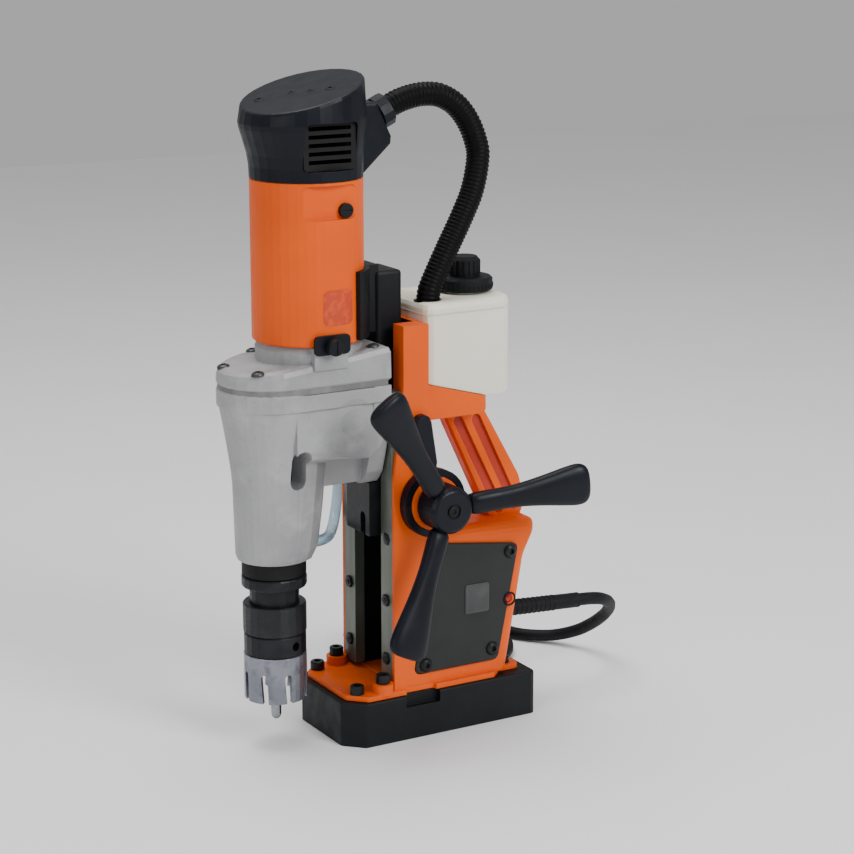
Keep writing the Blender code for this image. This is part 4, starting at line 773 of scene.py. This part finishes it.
def make_levers():
    """The levers again with a rounder section and a rolled end."""
    for number, degrees in enumerate((5.0, 125.0, 245.0), 1):
        turn = math.radians(degrees)
        outward = Vector((math.cos(turn), 0, math.sin(turn)))
        across = Vector((-math.sin(turn), 0, math.cos(turn)))
        rings = []
        for distance, width, thickness in LEVER_STATIONS:
            y = LEVER_ROOT_Y - LEVER_DISH * distance / LEVER_REACH
            centre = Vector((FEED[0], y, FEED[1])) + outward * distance
            ring = []
            for c, s in circle(24):
                a = math.copysign(abs(c) ** ROUNDNESS, c) * width / 2
                b = math.copysign(abs(s) ** ROUNDNESS, s) * thickness / 2
                ring.append(centre + across * a + Vector((0, b, 0)))
            rings.append(ring)
        bm = bmesh.new()
        skin(bm, rings)
        lever = place(f"lever_{number}", bm, "feed", "dark_plastic", smooth=80)
        modifier = lever.modifiers.new("smooth", "SUBSURF")
        modifier.levels = modifier.render_levels = 1
        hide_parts(f"feed_lever_{number}")


make_levers()


# Casting, tank and cap details --------------------------------------------------------------------
def prism(bm, outline, low, high, axis="Z"):
    """A flat outline drawn out along an axis."""
    for_axis = {"Z": lambda a, b, c: (a, b, c), "Y": lambda a, b, c: (a, c, b)}[axis]
    skin(bm, [[for_axis(a, b, level) for a, b in outline] for level in (low, high)])


CHANNEL_LEVELS = (46.9, 375.8)


def make_channel_painted_shade():
    """Black sheets over the back and side walls of the slide's channel: painted shade for its dark inside."""
    bm = bmesh.new()
    for low, high in ((CHANNEL_LEVELS[0], 200.0), (232.0, CHANNEL_LEVELS[1])):
        prism(bm, [(-18.32, -29.95), (-18.1, -29.95), (-18.1, 29.95), (-18.32, 29.95)], low, high)
    for side in (-1, 1):
        near, far = side * 29.88, side * 30.1
        prism(bm, [(-38.1, near), (-18.3, near), (-18.3, far), (-38.1, far)], *CHANNEL_LEVELS)
    # Painted shade: the channel's inside is laid over in black.
    place("channel_painted_shade", bm, "stand", "black_paint")


CAP_RIBS = (  # radius, low, high, count, half width
    (13.7, 407.5, 421.0, 18, 1.2),
    (25.2, 395.5, 401.0, 36, 1.1),
)


def make_cap_grip():
    """Grip ribs round the filler cap's knob and skirt."""
    bm = bmesh.new()
    for radius, low, high, count, width in CAP_RIBS:
        for c, s in circle(count):
            outward = Vector((c, s, 0))
            side = Vector((-s, c, 0)) * width
            rings = []
            for level, proud in ((low, 0.0), (low + 1.0, 0.75), (high - 1.0, 0.75), (high, 0.0)):
                base = Vector((*CAP_AT, level)) + outward * (radius - 0.6)
                tip = base + outward * (0.6 + proud)
                rings.append([base - side, base + side, tip + side * 0.5, tip - side * 0.5])
            skin(bm, rings)
    place("filler_cap_grip", bm, "filler_cap", "rubber")


TANK_CORNERS = ((81, 44, 22, 0), (-12.6, 44, 7, 90), (-12.6, -44, 7, 180), (81, -44, 22, 270))


def make_tank_seam():
    """The moulding line round the tank."""
    bm = bmesh.new()
    outline = []
    for x, y, radius, start in TANK_CORNERS:
        sx, sy = (1 if x > 0 else -1), (1 if y > 0 else -1)
        for step in range(7):
            turn = math.radians(start + 90 * step / 6)
            outline.append((x - sx * radius, y - sy * radius, radius, turn))
    rings = []
    for proud, level in ((-0.4, 381.4), (0.35, 381.8), (0.35, 382.8), (-0.4, 383.2)):
        ring = []
        for x, y, radius, turn in outline:
            r = radius + proud
            ring.append((x + r * math.cos(turn), y + r * math.sin(turn), level))
        rings.append(ring)
    skin(bm, rings, closed=True)
    place("tank_seam", bm, "stand", "tank_white")


GASKET_RADIUS = 46.3
COVER_BACK = -52.6


def make_gasket():
    """A dark band in the parting groove between the gearbox and its cover."""
    bm = bmesh.new()
    outline = []
    for step in range(21):
        angle = math.pi / 2 + math.pi * step / 20
        outline.append((SPINDLE_X + GASKET_RADIUS * math.cos(angle), GASKET_RADIUS * math.sin(angle)))
    outline += [(COVER_BACK, -GASKET_RADIUS), (COVER_BACK, GASKET_RADIUS)]
    prism(bm, outline, 326.0, 331.2)
    place("cover_gasket", bm, "carriage", "grey_alloy", special("gasket_grey", (0.15, 0.15, 0.153), 0.6))


GRIP_SLOTS = (((31.5, 280.0), (75.5, 192.0)), ((50.5, 279.0), (92.0, 194.0)))  # end to end, X and Z
GRIP_SLOT_RADIUS = 4.72


def make_grip_slot_shade():
    """Darker orange sheets on the floors of the grip's two long recesses, on both sides: painted shade."""
    bm = bmesh.new()
    for (x0, z0), (x1, z1) in GRIP_SLOTS:
        lean = math.atan2(z1 - z0, x1 - x0)
        outline = []
        for (x, z), start in (((x1, z1), -0.5), ((x0, z0), 0.5)):
            for step in range(7):
                angle = lean + math.pi * (start + step / 6)
                r = GRIP_SLOT_RADIUS
                outline.append((x + r * math.cos(angle), z + r * math.sin(angle)))
        prism(bm, outline, -20.95, -20.7, "Y")
        prism(bm, outline, -7.3, -7.05, "Y")
    # The darker orange of these floors is painted shade in the recesses.
    slot_shade = Finish("grip_slot_painted_shade", (0.42, 0.02, 0.0), 0.5)
    slot_shade.cloud((0.34, 0.014, 0.0), 40, 0.45, 0.75).vary(80, 0.06).grain(900, 0.00006, 0.5)
    place("grip_slot_shade_floors", bm, "stand", "orange_paint", slot_shade.material)


def make_chuck_collar():
    """A plain black collar on the chuck's neck, right under the gearbox's nose."""
    bm = bmesh.new()
    profile = [(25.9, 159.0), (27.9, 159.0), (28.5, 159.6), (28.5, 172.0), (27.9, 172.6), (25.9, 172.6)]
    turned(bm, profile, (0, 0, 1), (SPINDLE_X, 0, 0), 64)
    place("chuck_collar", bm, "quill", "black_steel", SHADOW_BLACK)


def make_pilot_tip():
    """The pilot pin's thicker tip with a round end."""
    bm = bmesh.new()
    profile = [
        (0.5, 22.4), (2.2, 22.8), (3.6, 24.2), (4.4, 26.2), (4.6, 28.4), (4.6, 49.0), (4.0, 49.8),
        (2.8, 49.8),
    ]
    turned(bm, profile, (0, 0, 1), (SPINDLE_X, 0, 0), 32)
    place("pilot_tip", bm, "pilot", "steel")


def make_lamp_bezel():
    """A ring round the power lamp."""
    bm = bmesh.new()
    profile = [(4.9, 0.0), (6.6, 0.0), (6.6, 0.7), (6.0, 1.3), (5.3, 1.3), (4.9, 0.9)]
    matrix = facing((0, -1, 0), (LAMP[0], PANEL_FACE, LAMP[1]))
    rings = [[matrix @ Vector((r * c, r * s, level)) for c, s in circle(24)] for r, level in profile]
    skin(bm, rings, closed=True)
    place("lamp_bezel", bm, "stand", "panel_grey", SHADOW_BLACK)


make_channel_painted_shade()
make_cap_grip()
make_tank_seam()
make_gasket()
make_grip_slot_shade()
make_chuck_collar()
make_pilot_tip()
make_lamp_bezel()


# Floor and light ----------------------------------------------------------------------------------
FLOOR_HALF = 4000
FLOOR_LEVEL = -0.2
AIM = Vector((0, 0, 0.28))  # where the lamps point, in metres


def make_stage():
    """A white floor, a pale sky and three soft lamps."""
    bm = bmesh.new()
    corners = [(x * FLOOR_HALF, y * FLOOR_HALF, FLOOR_LEVEL) for x, y in ((-1, -1), (1, -1), (1, 1), (-1, 1))]
    bm.faces.new([bm.verts.new(Vector(c) * MM) for c in corners])
    mesh = bpy.data.meshes.new("floor")
    bm.to_mesh(mesh)
    bm.free()
    floor = bpy.data.objects.new("floor", mesh)
    bpy.context.scene.collection.objects.link(floor)
    finish = Finish("floor_white", (0.9, 0.9, 0.9), 0.7)
    finish.cloud((0.88, 0.88, 0.885), 3, 0.4, 0.7)
    mesh.materials.append(finish.material)
    world = bpy.data.worlds.new("studio")
    bpy.context.scene.world = world
    world.use_nodes = True
    background = world.node_tree.nodes["Background"]
    background.inputs["Color"].default_value = (1.0, 1.0, 1.0, 1.0)
    background.inputs["Strength"].default_value = 0.45
    softbox("key_light", (0.7, -2.3, 1.8), 1.1, 58)
    softbox("front_light", (-2.2, -1.0, 1.1), 0.9, 8)
    softbox("top_light", (-0.2, 0.3, 2.4), 1.4, 40)


def softbox(name, at, size, power):
    """A square lamp, its place and size in metres and its power in watts."""
    light = bpy.data.lights.new(name, "AREA")
    light.size = size
    light.energy = power
    lamp = bpy.data.objects.new(name, light)
    bpy.context.scene.collection.objects.link(lamp)
    lamp.location = at
    lamp.rotation_euler = (AIM - Vector(at)).to_track_quat("-Z", "Y").to_euler()


make_stage()
